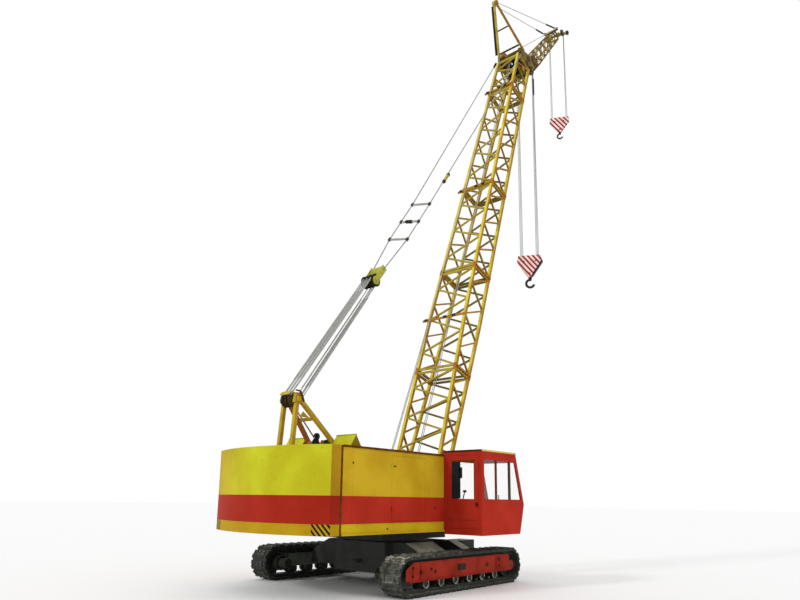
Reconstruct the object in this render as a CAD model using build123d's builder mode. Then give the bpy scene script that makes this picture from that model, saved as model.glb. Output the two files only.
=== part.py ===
from build123d import *
import os
from math import atan2, cos, pi, radians, sin

# A crawler crane with a lattice boom, a short fixed jib and two hook blocks.
# Millimetres. +X is forward, +Y is left, +Z is up. The origin lies on the ground
# under the slewing axis.

os.makedirs("parts", exist_ok=True)

# Fits between pieces
seat = 0.3  # gap where a round or leaning piece sits on what carries it
run = 5.0  # gap between pieces that move past each other

# Crawler tracks
track_length = 4920.0
track_height = 875.0
tracks_width = 4980.0  # over both tracks
shoe_width = 560.0
shoe_pitch = 256.0
shoe_plate = 30.0
grouser = 35.0
track_web = 14.0  # the band that joins the shoes
link_height = 70.0
link_width = 300.0
wheel_width = 200.0
roller_radius = 115.0
roller_count = 6
roller_pitch = 555.0
axle_radius = 45.0

# Track frames and car body
frame_half_width = 250.0  # from a track's middle to the faces of its box frame
frame_bottom = 385.0
frame_top = 640.0
fork_plate = 40.0
panel_plate = 16.0
panel_low, panel_high = 350.0, 733.0
panel_rear, panel_front = -2200.0, 1570.0
panel_cut_x, panel_cut_z = 240.0, 150.0
panel_hole_x, panel_hole = -300.0, (200.0, 130.0)
carbody_rear, carbody_front, carbody_half = -1080.0, 1250.0, 860.0
carbody_low, carbody_high = 300.0, 1030.0
beams = ((-850.0, 200.0), (900.0, 1250.0))  # how far back and forward each cross beam is
beam_shoulder = 1320.0  # where a cross beam's top begins to fall towards the track
beam_end_high = 720.0
step_length, step_inner, step_outer = 590.0, 1000.0, 1450.0
lug_reach = 120.0
lug_z = 560.0
lug_bore = 35.0
lug_thick = 60.0

# Slewing ring and turntable
ring_radius = 1000.0
ring_height = 60.0
deck_high = 1310.0
girder_rear, girder_front = -1300.0, 1150.0
girder_half = 1000.0
floor_plate = 40.0

# Machine house
house_high = 3140.0
house_half = 1925.0
house_front = 330.0
tail_radius = 4370.0
wall = 40.0
corner_return = 310.0  # how far the tail panel turns round each side
joint_gap = 4.0
door_rear, door_front = -2060.0, -890.0
door_low, door_high = 1585.0, 3010.0

# Hinges
knuckle = 60.0
knuckle_radius = 14.0
leaf_reach = 50.0
leaf_plate = 6.0

# Cab
cab_rear = -150.0
cab_inner, cab_outer = -1925.0, -3040.0
cab_low, cab_high = 1250.0, 3240.0
cab_nose, cab_nose_z = 1750.0, 1960.0
cab_foot, cab_brow = 1540.0, 1380.0
cab_wall = 40.0
window_low, window_high = 2085.0, 3000.0
glass = 8.0

# Gantry
gantry_x, gantry_z = -3460.0, 4270.0
rear_leg_y, front_leg_y = 220.0, 400.0
rear_leg_low_x = gantry_x - 240
leg = 90.0
front_leg_top = (gantry_x + 160, rear_leg_y, gantry_z - 50)
front_leg_low = (gantry_x + 940, front_leg_y, gantry_z - 870)
front_tie_z = gantry_z - 405
falls_reach = 155.0  # from the gantry axle out to the ropes, above and below
sheave_width = 60.0
sheave_spacing = 125.0
axle = 45.0

# Masses inside the house
engine_rear, engine_front, engine_half, engine_high = -2350.0, -900.0, 320.0, 950.0
weight_front, weight_half, weight_high = rear_leg_low_x - 120, 1700.0, 620.0

# Boom
foot_x, foot_z = 880.0, 1560.0
boom_angle = 70.5
boom_length = 18600.0
head_start = boom_length - 210  # where the head plates take over from the chords
foot_half_width, head_half_width = 800.0, 436.0
foot_half_depth, boom_half_depth = 190.0, 410.0
taper_length = 6350.0
chord = 90.0
lace = 50.0
pin_radius = 45.0
lug_half = 110.0
ear = 40.0

# Rigging
hoist_reach, block_half = 253.2, 420.0  # from the hoist axle forward to its ropes
block_top, block_point = 11250.0, 10390.0
block_reach = 340.0  # from the block's middle out to its outer ropes
block_turn = 26.0  # the blocks hang turned to the left, with their hooks
aux_reach, aux_half, aux_block_half = 130.0, 350.0, 375.0
aux_top, aux_point = 18550.0, 17850.0
aux_block_reach = 330.0
rope = 26.0
groove = 36.0  # depth of the groove in a sheave's rim


def write(piece, label):
    """Name one finished piece and write it."""
    piece.part.label = label
    export_step(piece.part, f"parts/{label}.step")


def xz(y):
    """The plane of a side view, drawn with X to the right and Z up, standing at y."""
    return Plane(origin=(0, y, 0), x_dir=(1, 0, 0), z_dir=(0, -1, 0))


def bar(start, end, width, depth=None, across=(0, 1, 0)):
    """A bar of rectangular section from start to end; its width lies along across."""
    start, end = Vector(start), Vector(end)
    run_of_bar = end - start
    side = Vector(across)
    if abs(run_of_bar.normalized().dot(side.normalized())) > 0.98:
        side = Vector(1, 0, 0)
    side = side - run_of_bar * (run_of_bar.dot(side) / run_of_bar.dot(run_of_bar))
    with BuildPart(mode=Mode.PRIVATE) as piece:
        with BuildSketch(Plane(origin=start, x_dir=side, z_dir=run_of_bar)):
            Rectangle(width, depth or width)
        extrude(amount=run_of_bar.length)
    return piece.part


def block(low, high):
    """A block between two opposite corners."""
    size = Vector(high) - Vector(low)
    centre = (Vector(high) + Vector(low)) * 0.5
    return Location(centre) * Box(size.X, size.Y, size.Z, mode=Mode.PRIVATE)


def round_bar(start, end, radius):
    """A round bar from start to end."""
    start, end = Vector(start), Vector(end)
    with BuildPart(mode=Mode.PRIVATE) as piece:
        with BuildSketch(Plane(origin=start, z_dir=end - start)):
            Circle(radius)
        extrude(amount=(end - start).length)
    return piece.part


def knuckles(axis, out, along, levels, upper):
    """Hinge barrels with their leaves on a flat face: the leaf lies along it, and the
    barrel's middle stands one radius out. Upper ones belong to the door."""
    pieces = []
    axis, out, along = Vector(axis), Vector(out), Vector(along)
    for level in levels:
        low = level + (knuckle + seat if upper else 0.0)
        foot, top = Vector(0, 0, low), Vector(0, 0, low + knuckle)
        pieces.append(round_bar(axis + foot, axis + top, knuckle_radius))
        skin = axis - out * knuckle_radius
        reach = along * (leaf_reach if upper else -leaf_reach)
        ends = [skin + foot, skin + out * leaf_plate + reach + top]
        low_corner = [min(pair) for pair in zip(*[tuple(e) for e in ends])]
        high_corner = [max(pair) for pair in zip(*[tuple(e) for e in ends])]
        pieces.append(block(low_corner, high_corner))
    return pieces


# Tracks
track_middle = tracks_width / 2 - shoe_width / 2
axle_z = track_height / 2
shoe_radius = axle_z - grouser - shoe_plate  # underside of the shoes
wheel_radius = shoe_radius - link_height
axle_x = track_length / 2 - axle_z
loop_length = 4 * axle_x + 2 * pi * shoe_radius
shoe_count = round(loop_length / shoe_pitch)
pitch = loop_length / shoe_count


def on_loop(distance):
    """Place and direction on the line under the shoes, run round the track."""
    straight, turn = 2 * axle_x, pi * shoe_radius
    distance %= loop_length
    if distance < straight:
        return -axle_x + distance, axle_z + shoe_radius, 0.0
    distance -= straight
    if distance < turn:
        angle = distance / shoe_radius
        return (
            axle_x + shoe_radius * sin(angle),
            axle_z + shoe_radius * cos(angle),
            -angle,
        )
    distance -= turn
    if distance < straight:
        return axle_x - distance, axle_z - shoe_radius, -pi
    angle = (distance - straight) / shoe_radius
    return (
        -axle_x - shoe_radius * sin(angle),
        axle_z - shoe_radius * cos(angle),
        -pi - angle,
    )


# One shoe seen from the side: share of the pitch along it, height over its underside
shoe_outline = [
    (-0.46, 0.0),
    (-0.46, shoe_plate),
    (-0.30, shoe_plate),
    (-0.25, shoe_plate + grouser),
    (-0.13, shoe_plate + grouser),
    (-0.08, shoe_plate),
    (0.40, shoe_plate),
    (0.40, 0.0),
]
track_outline = []
for count in range(shoe_count):
    x, z, angle = on_loop((count + 0.5) * pitch)
    for along, out in shoe_outline:
        step = along * pitch
        height = z + step * sin(angle) + out * cos(angle)
        track_outline.append(
            (
                x + step * cos(angle) - out * sin(angle),
                min(max(height, 0.0), track_height),
            )
        )

roller_z = axle_z - wheel_radius + seat + roller_radius
roller_x = [(i - (roller_count - 1) / 2) * roller_pitch for i in range(roller_count)]
tooth_count = 13
rim = wheel_radius - seat
axle_hole = axle_radius + seat
middles = (-track_middle, track_middle)

for side, sign in (("l", 1), ("r", -1)):
    middle = sign * track_middle
    with BuildPart() as track:
        with BuildSketch(xz(middle)):
            with BuildLine():
                Polyline(*track_outline, close=True)
            make_face()
            with Locations((0, axle_z)):
                SlotCenterToCenter(
                    2 * axle_x, 2 * (shoe_radius - track_web), mode=Mode.SUBTRACT
                )
        extrude(amount=shoe_width / 2, both=True)
        with BuildSketch(xz(middle)):
            with Locations((0, axle_z)):
                SlotCenterToCenter(2 * axle_x, 2 * (shoe_radius - track_web))
                SlotCenterToCenter(2 * axle_x, 2 * wheel_radius, mode=Mode.SUBTRACT)
        extrude(amount=link_width / 2, both=True)
    write(track, f"track_{side}")

    # Box frame with forks at both ends, an outer cover panel and the roller hangers
    outer = middle + sign * frame_half_width
    with BuildPart() as track_frame:
        box_half = axle_x - wheel_radius - 60
        add(
            block(
                (-box_half, middle - frame_half_width, frame_bottom),
                (box_half, middle + frame_half_width, frame_top),
            )
        )
        for face in (-1, 1):
            inside = middle + face * (frame_half_width - fork_plate)
            with BuildSketch(xz(inside)):
                with Locations((0, axle_z)):
                    SlotCenterToCenter(2 * axle_x, 240)
            extrude(amount=-face * fork_plate)
        with BuildSketch(xz(outer)):
            with BuildLine():
                Polyline(
                    (panel_rear, panel_low),
                    (panel_front, panel_low),
                    (panel_front, panel_high),
                    (panel_rear + panel_cut_x, panel_high),
                    (panel_rear, panel_high - panel_cut_z),
                    close=True,
                )
            make_face()
        extrude(amount=-sign * panel_plate)
        with BuildSketch(xz(outer)):
            with Locations((panel_hole_x, (panel_low + panel_high) / 2)):
                Rectangle(*panel_hole)
        extrude(amount=-sign * frame_half_width, mode=Mode.SUBTRACT)
        for x in roller_x:
            add(
                block(
                    (x - 60, middle - 45, roller_z - 70),
                    (x + 60, middle + 45, frame_bottom),
                )
            )
        with BuildSketch(xz(middle)):
            with Locations(*[(x, roller_z) for x in roller_x]):
                Circle(axle_hole)
        extrude(amount=50, both=True, mode=Mode.SUBTRACT)
        with BuildSketch(xz(middle)):
            with Locations((-axle_x, axle_z), (axle_x, axle_z)):
                Circle(axle_hole)
        extrude(amount=frame_half_width, both=True, mode=Mode.SUBTRACT)
    write(track_frame, f"track_frame_{side}")

# Sprockets at the rear, with teeth that stop short of the links, and plain idlers
with BuildPart() as sprockets:
    for middle in middles:
        with BuildSketch(xz(middle)):
            with Locations((-axle_x, axle_z)):
                Circle(rim)
                with PolarLocations(rim, tooth_count):
                    Circle(34, mode=Mode.SUBTRACT)
        extrude(amount=60, both=True)
        with BuildSketch(xz(middle)):
            with Locations((-axle_x, axle_z)):
                Circle(rim - 60)
        extrude(amount=wheel_width / 2, both=True)
        with BuildSketch(xz(middle)):
            with Locations((-axle_x, axle_z)):
                Circle(axle_radius)
        extrude(amount=frame_half_width, both=True)
write(sprockets, "sprockets")

with BuildPart() as idlers:
    for middle in middles:
        with BuildSketch(xz(middle)):
            with Locations((axle_x, axle_z)):
                Circle(rim)
        extrude(amount=wheel_width / 2, both=True)
        with BuildSketch(xz(middle + wheel_width / 2), xz(middle - wheel_width / 2)):
            with Locations((axle_x, axle_z)):
                Circle(rim - 50)
                Circle(110, mode=Mode.SUBTRACT)
        extrude(amount=50, both=True, mode=Mode.SUBTRACT)
        with BuildSketch(xz(middle)):
            with Locations((axle_x, axle_z)):
                Circle(axle_radius)
        extrude(amount=frame_half_width, both=True)
write(idlers, "idlers")

# Bottom rollers, hung by the middle of their axles from the frames
with BuildPart() as rollers:
    for middle in middles:
        with BuildSketch(xz(middle)):
            with Locations(*[(x, roller_z) for x in roller_x]):
                Circle(roller_radius)
        extrude(amount=150, both=True)
        with BuildSketch(xz(middle)):
            with Locations(*[(x, roller_z) for x in roller_x]):
                Circle(roller_radius)
                Circle(axle_radius, mode=Mode.SUBTRACT)
        extrude(amount=60, both=True, mode=Mode.SUBTRACT)
write(rollers, "rollers")

# Travel drives on the inner side of the sprockets
with BuildPart() as travel_drives:
    for sign in (-1, 1):
        inner = sign * (track_middle - frame_half_width)
        with BuildSketch(xz(inner)):
            with Locations((-axle_x, axle_z)):
                Circle(185)
        extrude(amount=sign * 170)
        with BuildSketch(xz(inner - sign * 170)):
            with Locations((-axle_x, axle_z)):
                Circle(120)
        extrude(amount=sign * 260)
write(travel_drives, "travel_drives")

# Car body: a deep middle box, cross beams that fall towards the tracks, front steps and
# a tow lug at each end
beam_end = track_middle - frame_half_width
with BuildPart() as carbody:
    add(
        block(
            (carbody_rear, -carbody_half, carbody_low),
            (carbody_front, carbody_half, carbody_high),
        )
    )
    for beam_rear, beam_front in beams:
        with BuildSketch(Plane.YZ.offset(beam_rear)):
            with BuildLine():
                Polyline(
                    (-beam_end, frame_bottom),
                    (beam_end, frame_bottom),
                    (beam_end, beam_end_high),
                    (beam_shoulder, carbody_high),
                    (-beam_shoulder, carbody_high),
                    (-beam_end, beam_end_high),
                    close=True,
                )
            make_face()
        extrude(amount=beam_front - beam_rear)
    for sign in (-1, 1):
        inner, outer = sorted((sign * step_inner, sign * step_outer))
        add(
            block(
                (carbody_front, inner, beam_end_high),
                (carbody_front + step_length, outer, carbody_high),
            )
        )
    with BuildSketch(Plane.XY.offset(lug_z - lug_thick / 2)):
        with Locations((carbody_rear - lug_reach / 2, 0), (carbody_front + lug_reach / 2, 0)):
            Rectangle(lug_reach, 180)
        with Locations((carbody_rear - lug_reach, 0), (carbody_front + lug_reach, 0)):
            Circle(90)
            Circle(lug_bore, mode=Mode.SUBTRACT)
    extrude(amount=lug_thick)
write(carbody, "carbody")

with BuildPart() as slew_ring:
    with BuildSketch(Plane.XY.offset(carbody_high)):
        Circle(ring_radius)
        Circle(ring_radius - 170, mode=Mode.SUBTRACT)
    extrude(amount=ring_height - seat)
write(slew_ring, "slew_ring")

# Turntable: girders, the house floor with its round tail, the boom ears and a cab bracket
girder_low = carbody_high + ring_height
floor_high = deck_high + floor_plate
floor_half = house_half - wall
floor_front = house_front - wall


def tail_profile(radius, half, front):
    """The house seen from above: straight sides and a tail round the slewing axis."""
    corner = -((radius**2 - half**2) ** 0.5)
    Polyline((corner, half), (front, half), (front, -half), (corner, -half))
    ThreePointArc((corner, -half), (-radius, 0), (corner, half))


tail_corner = -((tail_radius**2 - house_half**2) ** 0.5)
ear_middle = foot_half_width
ear_offset = lug_half / 2 + run
with BuildPart() as turntable:
    add(
        block(
            (girder_rear, -girder_half, girder_low),
            (girder_front, girder_half, deck_high),
        )
    )
    with BuildSketch(Plane.XY.offset(deck_high)):
        with BuildLine():
            tail_profile(tail_radius - wall - seat, floor_half, floor_front)
        make_face()
    extrude(amount=floor_plate)
    add(
        block(
            (450, cab_inner, cab_low),
            (1250, -girder_half, cab_low + 55),
        )
    )
    for sign in (-1, 1):
        for shift in (-ear_offset - ear / 2, ear_offset + ear / 2):
            y = sign * ear_middle + shift
            with BuildSketch(xz(y)):
                with BuildLine():
                    Polyline(
                        (foot_x - 260, deck_high),
                        (foot_x + 260, deck_high),
                        (foot_x + 90, foot_z + 60),
                        (foot_x - 90, foot_z + 60),
                        close=True,
                    )
                make_face()
                with Locations((foot_x, foot_z + 20)):
                    Circle(105)
            extrude(amount=ear / 2, both=True)
        with BuildSketch(xz(sign * ear_middle)):
            with Locations((foot_x, foot_z)):
                Circle(pin_radius)
        extrude(amount=ear_offset + ear, both=True)
write(turntable, "turntable")

# Machine house panels
wall_top = house_high - wall
side_rear = tail_corner + corner_return + joint_gap
with BuildPart() as house_tail:
    with BuildSketch(Plane.XY.offset(deck_high)):
        with BuildLine():
            tail_profile(tail_radius, house_half, tail_corner + corner_return)
        make_face()
        with BuildLine():
            tail_profile(
                tail_radius - wall, house_half - wall, tail_corner + corner_return
            )
        make_face(mode=Mode.SUBTRACT)
    extrude(amount=wall_top - deck_high)
write(house_tail, "house_tail")

for side, sign in (("l", 1), ("r", -1)):
    with BuildPart() as house_side:
        add(
            block(
                (side_rear, min(sign * house_half, sign * floor_half), deck_high),
                (house_front, max(sign * house_half, sign * floor_half), wall_top),
            )
        )
        add(
            block(
                (door_rear - run, sign * house_half - 2 * wall, door_low - run),
                (door_front + run, sign * house_half + 2 * wall, door_high + run),
            ),
            mode=Mode.SUBTRACT,
        )
        hinge_line = (door_rear - run / 2, sign * (house_half + knuckle_radius), 0)
        hinge_levels = (door_low + 180, door_high - 300)
        add(knuckles(hinge_line, (0, sign, 0), (1, 0, 0), hinge_levels, False))
    write(house_side, f"house_side_{side}")
    with BuildPart() as house_door:
        add(
            block(
                (door_rear, min(sign * house_half, sign * floor_half), door_low),
                (door_front, max(sign * house_half, sign * floor_half), door_high),
            )
        )
        add(knuckles(hinge_line, (0, sign, 0), (1, 0, 0), hinge_levels, True))
    write(house_door, f"house_door_{side}")

with BuildPart() as house_front_wall:
    add(
        block(
            (house_front - wall, -floor_half, floor_high),
            (house_front, floor_half, wall_top),
        )
    )
write(house_front_wall, "house_front")

# Gantry: two rear legs that lean forward and two raked front legs, all through the roof
head_low = gantry_z - 75.0
head_front = gantry_x + 120.0


def on_rear_leg(z, side):
    """The middle of a rear leg at a height."""
    share = (z - floor_high) / (head_low - floor_high)
    return (rear_leg_low_x + (gantry_x - rear_leg_low_x) * share, side * rear_leg_y, z)


def on_front_leg(z, side):
    """The middle of a front leg at a height: the legs splay as they come down."""
    share = (front_leg_top[2] - z) / (front_leg_top[2] - front_leg_low[2])
    x, y = [a + (b - a) * share for a, b in zip(front_leg_top[:2], front_leg_low[:2])]
    return (x, side * y, z)


with BuildPart() as gantry_rear:
    for sign in (-1, 1):
        add(bar(on_rear_leg(floor_high - leg, sign), on_rear_leg(head_low + leg, sign), leg))
    split(bisect_by=Plane.XY.offset(floor_high), keep=Keep.TOP)
    split(bisect_by=Plane.XY.offset(head_low), keep=Keep.BOTTOM)
write(gantry_rear, "gantry_rear_legs")

with BuildPart() as gantry_front:
    for sign in (-1, 1):
        add(
            bar(
                on_front_leg(floor_high - 2 * leg, sign),
                on_front_leg(gantry_z + 2 * leg, sign),
                leg,
            )
        )
    add(bar(on_front_leg(front_tie_z, -1), on_front_leg(front_tie_z, 1), leg * 0.8))
    split(bisect_by=Plane.XY.offset(floor_high), keep=Keep.TOP)
    split(bisect_by=Plane.YZ.offset(head_front), keep=Keep.TOP)
write(gantry_front, "gantry_front_legs")

with BuildPart() as gantry_head:
    for sign in (-1, 1):
        with BuildSketch(xz(sign * rear_leg_y)):
            with BuildLine():
                Polyline(
                    (gantry_x - 90, head_low),
                    (head_front, head_low),
                    (head_front, gantry_z + 120),
                    (head_front - 60, gantry_z + 150),
                    (gantry_x - 60, gantry_z + 150),
                    close=True,
                )
            make_face()
        extrude(amount=leg / 2, both=True)
    half = rear_leg_y + leg / 2 + 25
    add(round_bar((gantry_x, -half, gantry_z), (gantry_x, half, gantry_z), axle))
write(gantry_head, "gantry_head")


def rim_over(distance, width):
    """The radius of a sheave whose rope hangs at a distance from the axle's middle."""
    steep = sin(atan2(width / 2, groove))
    return distance + groove - rope / 2 / steep - seat


def sheave(centre_x, y, centre_z, radius, width, hole):
    """A rope sheave with a grooved rim on a cross axle."""
    half = width / 2
    with BuildPart(mode=Mode.PRIVATE) as wheel:
        with BuildSketch(Plane.XY):
            with BuildLine():
                Polyline(
                    (hole, -half),
                    (radius, -half),
                    (radius - groove, 0),
                    (radius, half),
                    (hole, half),
                    close=True,
                )
            make_face()
        revolve(axis=Axis.Y)
    return Location((centre_x, y, centre_z)) * wheel.part


gantry_sheave = rim_over(falls_reach, sheave_width)
with BuildPart() as gantry_sheaves:
    for y in (-sheave_spacing, 0, sheave_spacing):
        add(sheave(gantry_x, y, gantry_z, gantry_sheave, sheave_width, axle + seat))
write(gantry_sheaves, "gantry_sheaves")

# Roof with cut-outs for the legs, and its gabled hood
with BuildPart() as house_roof:
    with BuildSketch(Plane.XY.offset(wall_top)):
        with BuildLine():
            tail_profile(tail_radius, house_half, house_front)
        make_face()
        with Locations(*[on_rear_leg(wall_top + wall / 2, side)[:2] for side in (-1, 1)]):
            Rectangle(leg + 40, leg + 40, mode=Mode.SUBTRACT)
        with Locations(*[on_front_leg(wall_top + wall / 2, side)[:2] for side in (-1, 1)]):
            Rectangle(3 * leg, leg + 60, mode=Mode.SUBTRACT)
    extrude(amount=wall)
write(house_roof, "house_roof")

hood_x, hood_half_base, hood_rise, hood_half = -2470.0, 230.0, 360.0, 1180.0
hood_gap = front_leg_y + 140  # from the middle out to either half of the hood
with BuildPart() as roof_hood:
    for y0, y1 in ((-hood_half, -hood_gap), (hood_gap, hood_half)):
        with BuildSketch(xz(y0)):
            with BuildLine():
                Polyline(
                    (hood_x - hood_half_base, house_high),
                    (hood_x + hood_half_base, house_high),
                    (hood_x, house_high + hood_rise),
                    close=True,
                )
            make_face()
        extrude(amount=-(y1 - y0))
write(roof_hood, "roof_hood")

# Heavy masses closed inside the house
with BuildPart() as engine:
    add(
        block(
            (engine_rear, -engine_half, floor_high),
            (engine_front, engine_half, floor_high + engine_high),
        )
    )
write(engine, "engine")
with BuildPart() as counterweight:
    with BuildSketch(Plane.XY.offset(floor_high)):
        with BuildLine():
            tail_profile(tail_radius - wall - 20, weight_half, weight_front)
        make_face()
    extrude(amount=weight_high)
write(counterweight, "counterweight")

# Cab
cab_profile = [
    (cab_rear, cab_low),
    (cab_foot, cab_low),
    (cab_nose, cab_nose_z),
    (cab_brow, cab_high - cab_wall),
    (cab_rear, cab_high - cab_wall),
]


def front_x(z):
    """How far forward the windscreen stands at a height above the nose."""
    share = (z - cab_nose_z) / (cab_high - cab_wall - cab_nose_z)
    return cab_nose + (cab_brow - cab_nose) * share


pillar = 95.0
side_glass = [
    (cab_rear + 95, window_low),
    (front_x(window_low) - pillar, window_low),
    (front_x(window_high) - pillar, window_high),
    (cab_rear + 95, window_high),
]
inner_glass = [
    (house_front + 90, window_low),
    (front_x(window_low) - pillar, window_low),
    (front_x(window_high) - pillar, window_high),
    (house_front + 90, window_high),
]
cab_door_outer, cab_door_inner = cab_outer + 105, cab_inner - 115
cab_door_low, cab_door_high = cab_low + 150, cab_high - 130
screen_outer, screen_inner = cab_outer + 80, cab_inner - 80
mullions = ((470.0, 40.0), (1080.0, 60.0))  # middle and width of either post
with BuildPart() as cab:
    with BuildSketch(xz(cab_outer)):
        with BuildLine():
            Polyline(*cab_profile, close=True)
        make_face()
    extrude(amount=cab_outer - cab_inner)
    with BuildSketch(xz(cab_outer + cab_wall)):
        with BuildLine():
            Polyline(*cab_profile, close=True)
        make_face()
        offset(amount=-cab_wall, mode=Mode.REPLACE)
        with BuildLine():
            cavity_top = cab_high - 3 * cab_wall
            Polyline(
                (cab_rear + cab_wall, cavity_top),
                (front_x(cavity_top) - cab_wall * 1.05, cavity_top),
                (front_x(cab_high) - cab_wall * 1.05, cab_high),
                (cab_rear + cab_wall, cab_high),
                close=True,
            )
        make_face()
    extrude(amount=cab_outer - cab_inner + 2 * cab_wall, mode=Mode.SUBTRACT)
    with BuildSketch(xz(cab_outer)):
        with BuildLine():
            Polyline(*side_glass, close=True)
        make_face()
    extrude(amount=-cab_wall, mode=Mode.SUBTRACT)
    with BuildSketch(xz(cab_inner)):
        with BuildLine():
            Polyline(*inner_glass, close=True)
        make_face()
    extrude(amount=cab_wall, mode=Mode.SUBTRACT)
    add(
        block(
            (cab_brow - 150, screen_outer, window_low),
            (cab_nose + 50, screen_inner, window_high),
        ),
        mode=Mode.SUBTRACT,
    )
    add(
        block(
            (cab_rear - 10, cab_door_outer - run, cab_door_low - run),
            (cab_rear + cab_wall + 10, cab_door_inner + run, cab_door_high + run),
        ),
        mode=Mode.SUBTRACT,
    )
    for x, width in mullions:
        add(
            block(
                (x - width / 2, cab_outer, window_low),
                (x + width / 2, cab_outer + cab_wall, window_high),
            )
        )
    cab_hinge = (cab_rear - knuckle_radius, cab_door_outer - run / 2, 0)
    cab_hinge_levels = (cab_door_low + 200, cab_door_high - 320)
    add(knuckles(cab_hinge, (-1, 0, 0), (0, 1, 0), cab_hinge_levels, False))
write(cab, "cab_shell")

roof_lip = 10.0
with BuildPart() as cab_roof:
    add(
        block(
            (cab_rear - roof_lip, cab_outer - roof_lip, cab_high - cab_wall),
            (cab_brow + roof_lip, cab_inner - 1, cab_high),
        )
    )
write(cab_roof, "cab_roof")

door_glass_outer, door_glass_inner = -2830.0, -2165.0
with BuildPart() as cab_door:
    add(
        block(
            (cab_rear, cab_door_outer, cab_door_low),
            (cab_rear + cab_wall, cab_door_inner, cab_door_high),
        )
    )
    add(
        block(
            (cab_rear - 5, door_glass_outer, window_low),
            (cab_rear + cab_wall + 5, door_glass_inner, window_high),
        ),
        mode=Mode.SUBTRACT,
    )
    add(knuckles(cab_hinge, (-1, 0, 0), (0, 1, 0), cab_hinge_levels, True))
write(cab_door, "cab_door")

with BuildPart() as door_glass:
    add(
        block(
            (cab_rear + 16, door_glass_outer, window_low),
            (cab_rear + 16 + glass, door_glass_inner, window_high),
        )
    )
write(door_glass, "door_glass")

with BuildPart() as cab_glass:
    with BuildSketch(xz(cab_outer + 16)):
        with BuildLine():
            Polyline(*side_glass, close=True)
        make_face()
        for x, width in mullions:
            with Locations((x, (window_low + window_high) / 2)):
                Rectangle(width, window_high - window_low, mode=Mode.SUBTRACT)
    extrude(amount=-glass)
    with BuildSketch(xz(cab_inner - 16)):
        with BuildLine():
            Polyline(*inner_glass, close=True)
        make_face()
    extrude(amount=glass)
    with BuildSketch(xz(screen_outer)):
        with BuildLine():
            Polyline(
                (front_x(window_low) - 24, window_low),
                (front_x(window_low) - 16, window_low),
                (front_x(window_high) - 16, window_high),
                (front_x(window_high) - 24, window_high),
                close=True,
            )
        make_face()
    extrude(amount=screen_outer - screen_inner)
write(cab_glass, "cab_glass")

seat_y = (cab_outer + cab_inner) / 2
with BuildPart() as cab_seat:
    cab_floor = cab_low + cab_wall
    add(block((330, seat_y - 90, cab_floor), (520, seat_y + 90, cab_floor + 380)))
    add(block((200, seat_y - 240, cab_floor + 380), (680, seat_y + 240, cab_floor + 500)))
    add(
        bar(
            (230, seat_y, cab_floor + 500), (180, seat_y, cab_floor + 760), 460, 110
        )
    )
write(cab_seat, "cab_seat")

with BuildPart() as cab_console:
    add(
        block(
            (1050, cab_outer + 200, cab_floor),
            (1330, cab_inner - 200, cab_floor + 620),
        )
    )
    for y in (seat_y - 220, seat_y + 220):
        add(round_bar((1120, y, cab_floor + 620), (1080, y, cab_floor + 900), 14))
write(cab_console, "cab_console")

# Boom, drawn in its own axes: along it from the foot pins, forward of it, and across
lean_x, lean_z = cos(radians(boom_angle)), sin(radians(boom_angle))


def on_boom(along, out, y):
    """A point by its distance up the boom, forward of the middle line, and sideways."""
    return (
        foot_x + along * lean_x + out * lean_z,
        y,
        foot_z + along * lean_z - out * lean_x,
    )


def half_width(along):
    return foot_half_width + (head_half_width - foot_half_width) * along / boom_length


def half_depth(along):
    share = min(along / taper_length, 1.0)
    return foot_half_depth + (boom_half_depth - foot_half_depth) * share


def corner(along, out_sign, y_sign):
    """The middle of a chord at a distance up the boom."""
    return on_boom(along, out_sign * half_depth(along), y_sign * half_width(along))


# Boom sections between their pinned joints, and how many bays of lacing each has
names = ["boom_foot", "boom_lower", "boom_middle", "boom_upper", "boom_head"]
ends = [share * boom_length for share in (0, 0.2403, 0.4371, 0.629, 0.8903)] + [head_start]
bay_counts = dict(zip(names, (4, 3, 3, 4, 2)))
# Bars across the rear face that keep the hoist ropes off the lacing, long on the left
rope_bars = [share * boom_length for share in (0.336, 0.6255, 0.8935)]
rope_bar, rope_bar_reach = 60.0, 200.0
corners = [(-1, 1), (1, 1), (1, -1), (-1, -1)]
foot_plate = 300.0  # the closed end of the boom foot at each pin
forward = (lean_z, 0, -lean_x)

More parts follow.
